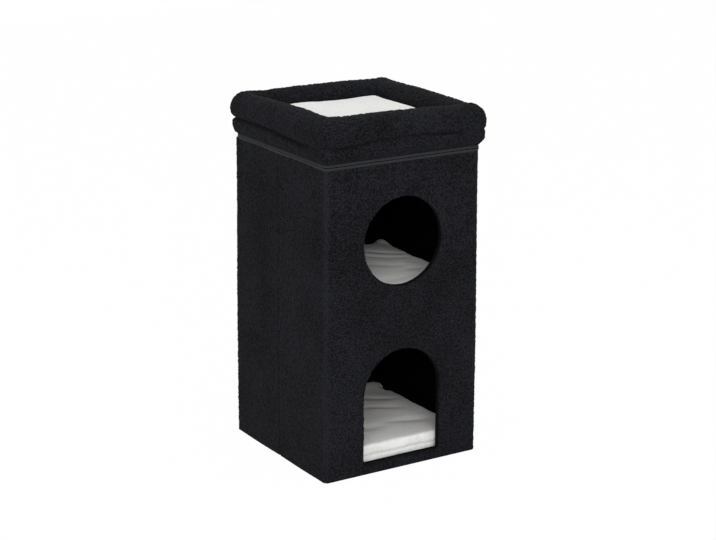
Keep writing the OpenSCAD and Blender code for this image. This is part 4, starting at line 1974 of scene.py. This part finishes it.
@dataclass
class Zip:
    """The zip round three sides, with its slider and pull, and the fabric hinge along the back."""

    middle: float = 681.5 * MM
    foot: float = 675.4 * MM
    lower_head: float = 680.6 * MM
    upper_foot: float = 682.4 * MM
    head: float = 687.6 * MM
    bead: float = 1.4 * MM
    hinge_half: float = 171 * MM
    hinge_out: float = 0.8 * MM
    hinge_in: float = 0.15 * MM
    piping: float = 1.5 * MM
    cast_round: float = 0.22 * MM

    def build(self) -> None:
        """Makes and dresses both halves, the slider, the pull and the hinge."""
        ZipHalf("lower", Body.CARCASS, self.foot, self.lower_head, self.lower_head - self.bead / 2).build()
        ZipHalf("upper", Body.LID, self.upper_foot, self.head, self.upper_foot + self.bead / 2).build()
        for node, body in (("zip_slider", Body.SLIDER), ("zip_pull", Body.PULL)):
            dressed(bevelled_copy(f"{node}_cast", [node], self.cast_round), ZINC, body, node)
        self.hinge()

    def hinge(self) -> None:
        """Makes the hinge's tape with its piping, between the walls and the lid."""
        turn = np.radians(np.linspace(-70, 70, 9))
        bead = [(FOOTPRINT.half + self.piping * math.cos(t), self.middle + self.piping * math.sin(t))
                for t in turn]
        flat = FOOTPRINT.half + self.hinge_out
        rear = FOOTPRINT.half + self.hinge_in
        outer = [(flat, z) for z in np.linspace(self.foot, self.middle - self.piping, 5)] + bead
        outer += [(flat, z) for z in np.linspace(self.middle + self.piping, self.head, 5)]
        inner = [(rear, z) for z in np.linspace(self.head, self.foot, 17)]
        section = outer + inner
        columns = np.linspace(-self.hinge_half, self.hinge_half, 115)
        strip = swept("hinge_strip", np.array([[(x, y, z) for y, z in section] for x in columns]), False)
        strip.data.materials.append(TAPE.material())
        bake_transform(strip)
        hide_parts("hinge_lower", "hinge_upper")
        LOG.info("hinge_strip: %d faces between carcass and lid", len(strip.data.polygons))


@dataclass
class Studio:
    """Floor, light, background and camera."""

    camera_at: tuple[float, float, float] = (-2.1398, -3.4235, 1.5734)
    right: tuple[float, float, float] = (0.84717, -0.53132, 0.0)
    up: tuple[float, float, float] = (0.14906, 0.23766, 0.95984)
    forward: tuple[float, float, float] = (0.50998, 0.81315, -0.28054)
    roll: float = 0.004
    lens: float = 96.77
    sensor: float = 36.0
    aim: tuple[float, float, float] = (0.0, 0.0, 0.4)
    sky: float = 0.65
    floor_half: float = 6.0
    floor_shade: float = 0.015

    def build(self) -> None:
        """Makes the studio."""
        scene = bpy.context.scene
        scene.view_settings.view_transform = "Standard"
        self.background(scene)
        self.floor()
        self.lamp("key", (-1.66, -3.26, 1.9), 3.0, 90)
        self.lamp("side", (-3.3, -1.2, 1.6), 1.4, 5)
        self.lamp("top", (0.2, -0.3, 3.6), 1.6, 18.5)
        data = bpy.data.cameras.new("camera")
        data.lens = self.lens
        data.sensor_width = self.sensor
        data.sensor_fit = "HORIZONTAL"
        camera = bpy.data.objects.new("camera", data)
        scene.collection.objects.link(camera)
        axes = Matrix((Vector(self.right), Vector(self.up), -Vector(self.forward))).transposed()
        turned = axes.to_4x4() @ Matrix.Rotation(self.roll, 4, "Z")
        camera.matrix_world = Matrix.Translation(self.camera_at) @ turned
        scene.camera = camera

    def background(self, scene: bpy.types.Scene) -> None:
        """Makes a world that is white where it shows, and a soft sky for the light.

        Args:
            scene: The scene.
        """
        world = bpy.data.worlds.new("studio")
        scene.world = world
        world.use_nodes = True
        sketch = Sketch(world.node_tree)
        strength = sketch.math("MULTIPLY_ADD", sketch.seen(), 1 - self.sky, self.sky)
        node = world.node_tree.nodes["Background"]
        sketch.feed(node.inputs["Color"], (1, 1, 1, 1))
        sketch.feed(node.inputs["Strength"], strength)

    def floor(self) -> None:
        """Pale floor, white to the camera apart from a faint shadow."""
        size = self.floor_half
        corners = np.array([(-size, -size, 0), (size, -size, 0), (size, size, 0), (-size, size, 0)])
        floor = mesh_object("floor_plane", corners, [(0, 1, 2, 3)])
        paint = Paint("pale_floor", 0.9, 0.1)
        paint.colour(paint.noise(paint.place, 3, 2), (0.8, 0.8, 0.8), (0.82, 0.82, 0.82))
        glow = paint.add("ShaderNodeEmission", (1, 1, 1, 1), 1.0)
        share = paint.math("MULTIPLY", paint.seen(), 1 - self.floor_shade)
        mixed = paint.add("ShaderNodeMixShader", share, paint.shader.outputs[0], glow.outputs[0])
        out = paint.tree.nodes["Material Output"]
        paint.feed(out.inputs["Surface"], mixed.outputs[0])
        floor.data.materials.append(paint.material)

    def lamp(self, name: str, place: tuple[float, float, float], size: float, power: float) -> None:
        """Adds a square area lamp turned to the middle of the object.

        Args:
            name: The lamp's name.
            place: Where it stands.
            size: Its width.
            power: Its power, in watts.
        """
        data = bpy.data.lights.new(name, "AREA")
        data.size = size
        data.energy = power
        lamp = bpy.data.objects.new(name, data)
        lamp.location = place
        lamp.rotation_mode = "QUATERNION"
        lamp.rotation_quaternion = (Vector(self.aim) - Vector(place)).to_track_quat("-Z", "Y")
        bpy.context.scene.collection.objects.link(lamp)


def main() -> None:
    """Builds every piece."""
    logging.basicConfig(level=logging.INFO, format="%(name)s: %(message)s")
    Walls().build()
    decks = [Deck("floor", Body.FLOOR, Cushion("floor_cushion", Body.FLOOR_CUSHION, 51, FLOOR_FOLDS)),
             Deck("shelf", Body.SHELF, Cushion("shelf_cushion", Body.SHELF_CUSHION, 52, SHELF_FOLDS))]
    bed = Cushion("bed_cushion", Body.BED_CUSHION, 53, BED_RIM, tuck=1.5 * MM, cap=3 * MM)
    lid = Lid()
    cushions = [deck.cushion for deck in decks] + [bed]
    jobs = [cushion.job() for cushion in cushions]
    swell(jobs + lid.jobs())
    for cushion, job in zip(cushions, jobs):
        cushion.finish(job.piece)
    for deck in decks:
        deck.build()
    lid.finish()
    Zip().build()
    Studio().build()


if __name__ == "__main__":
    main()
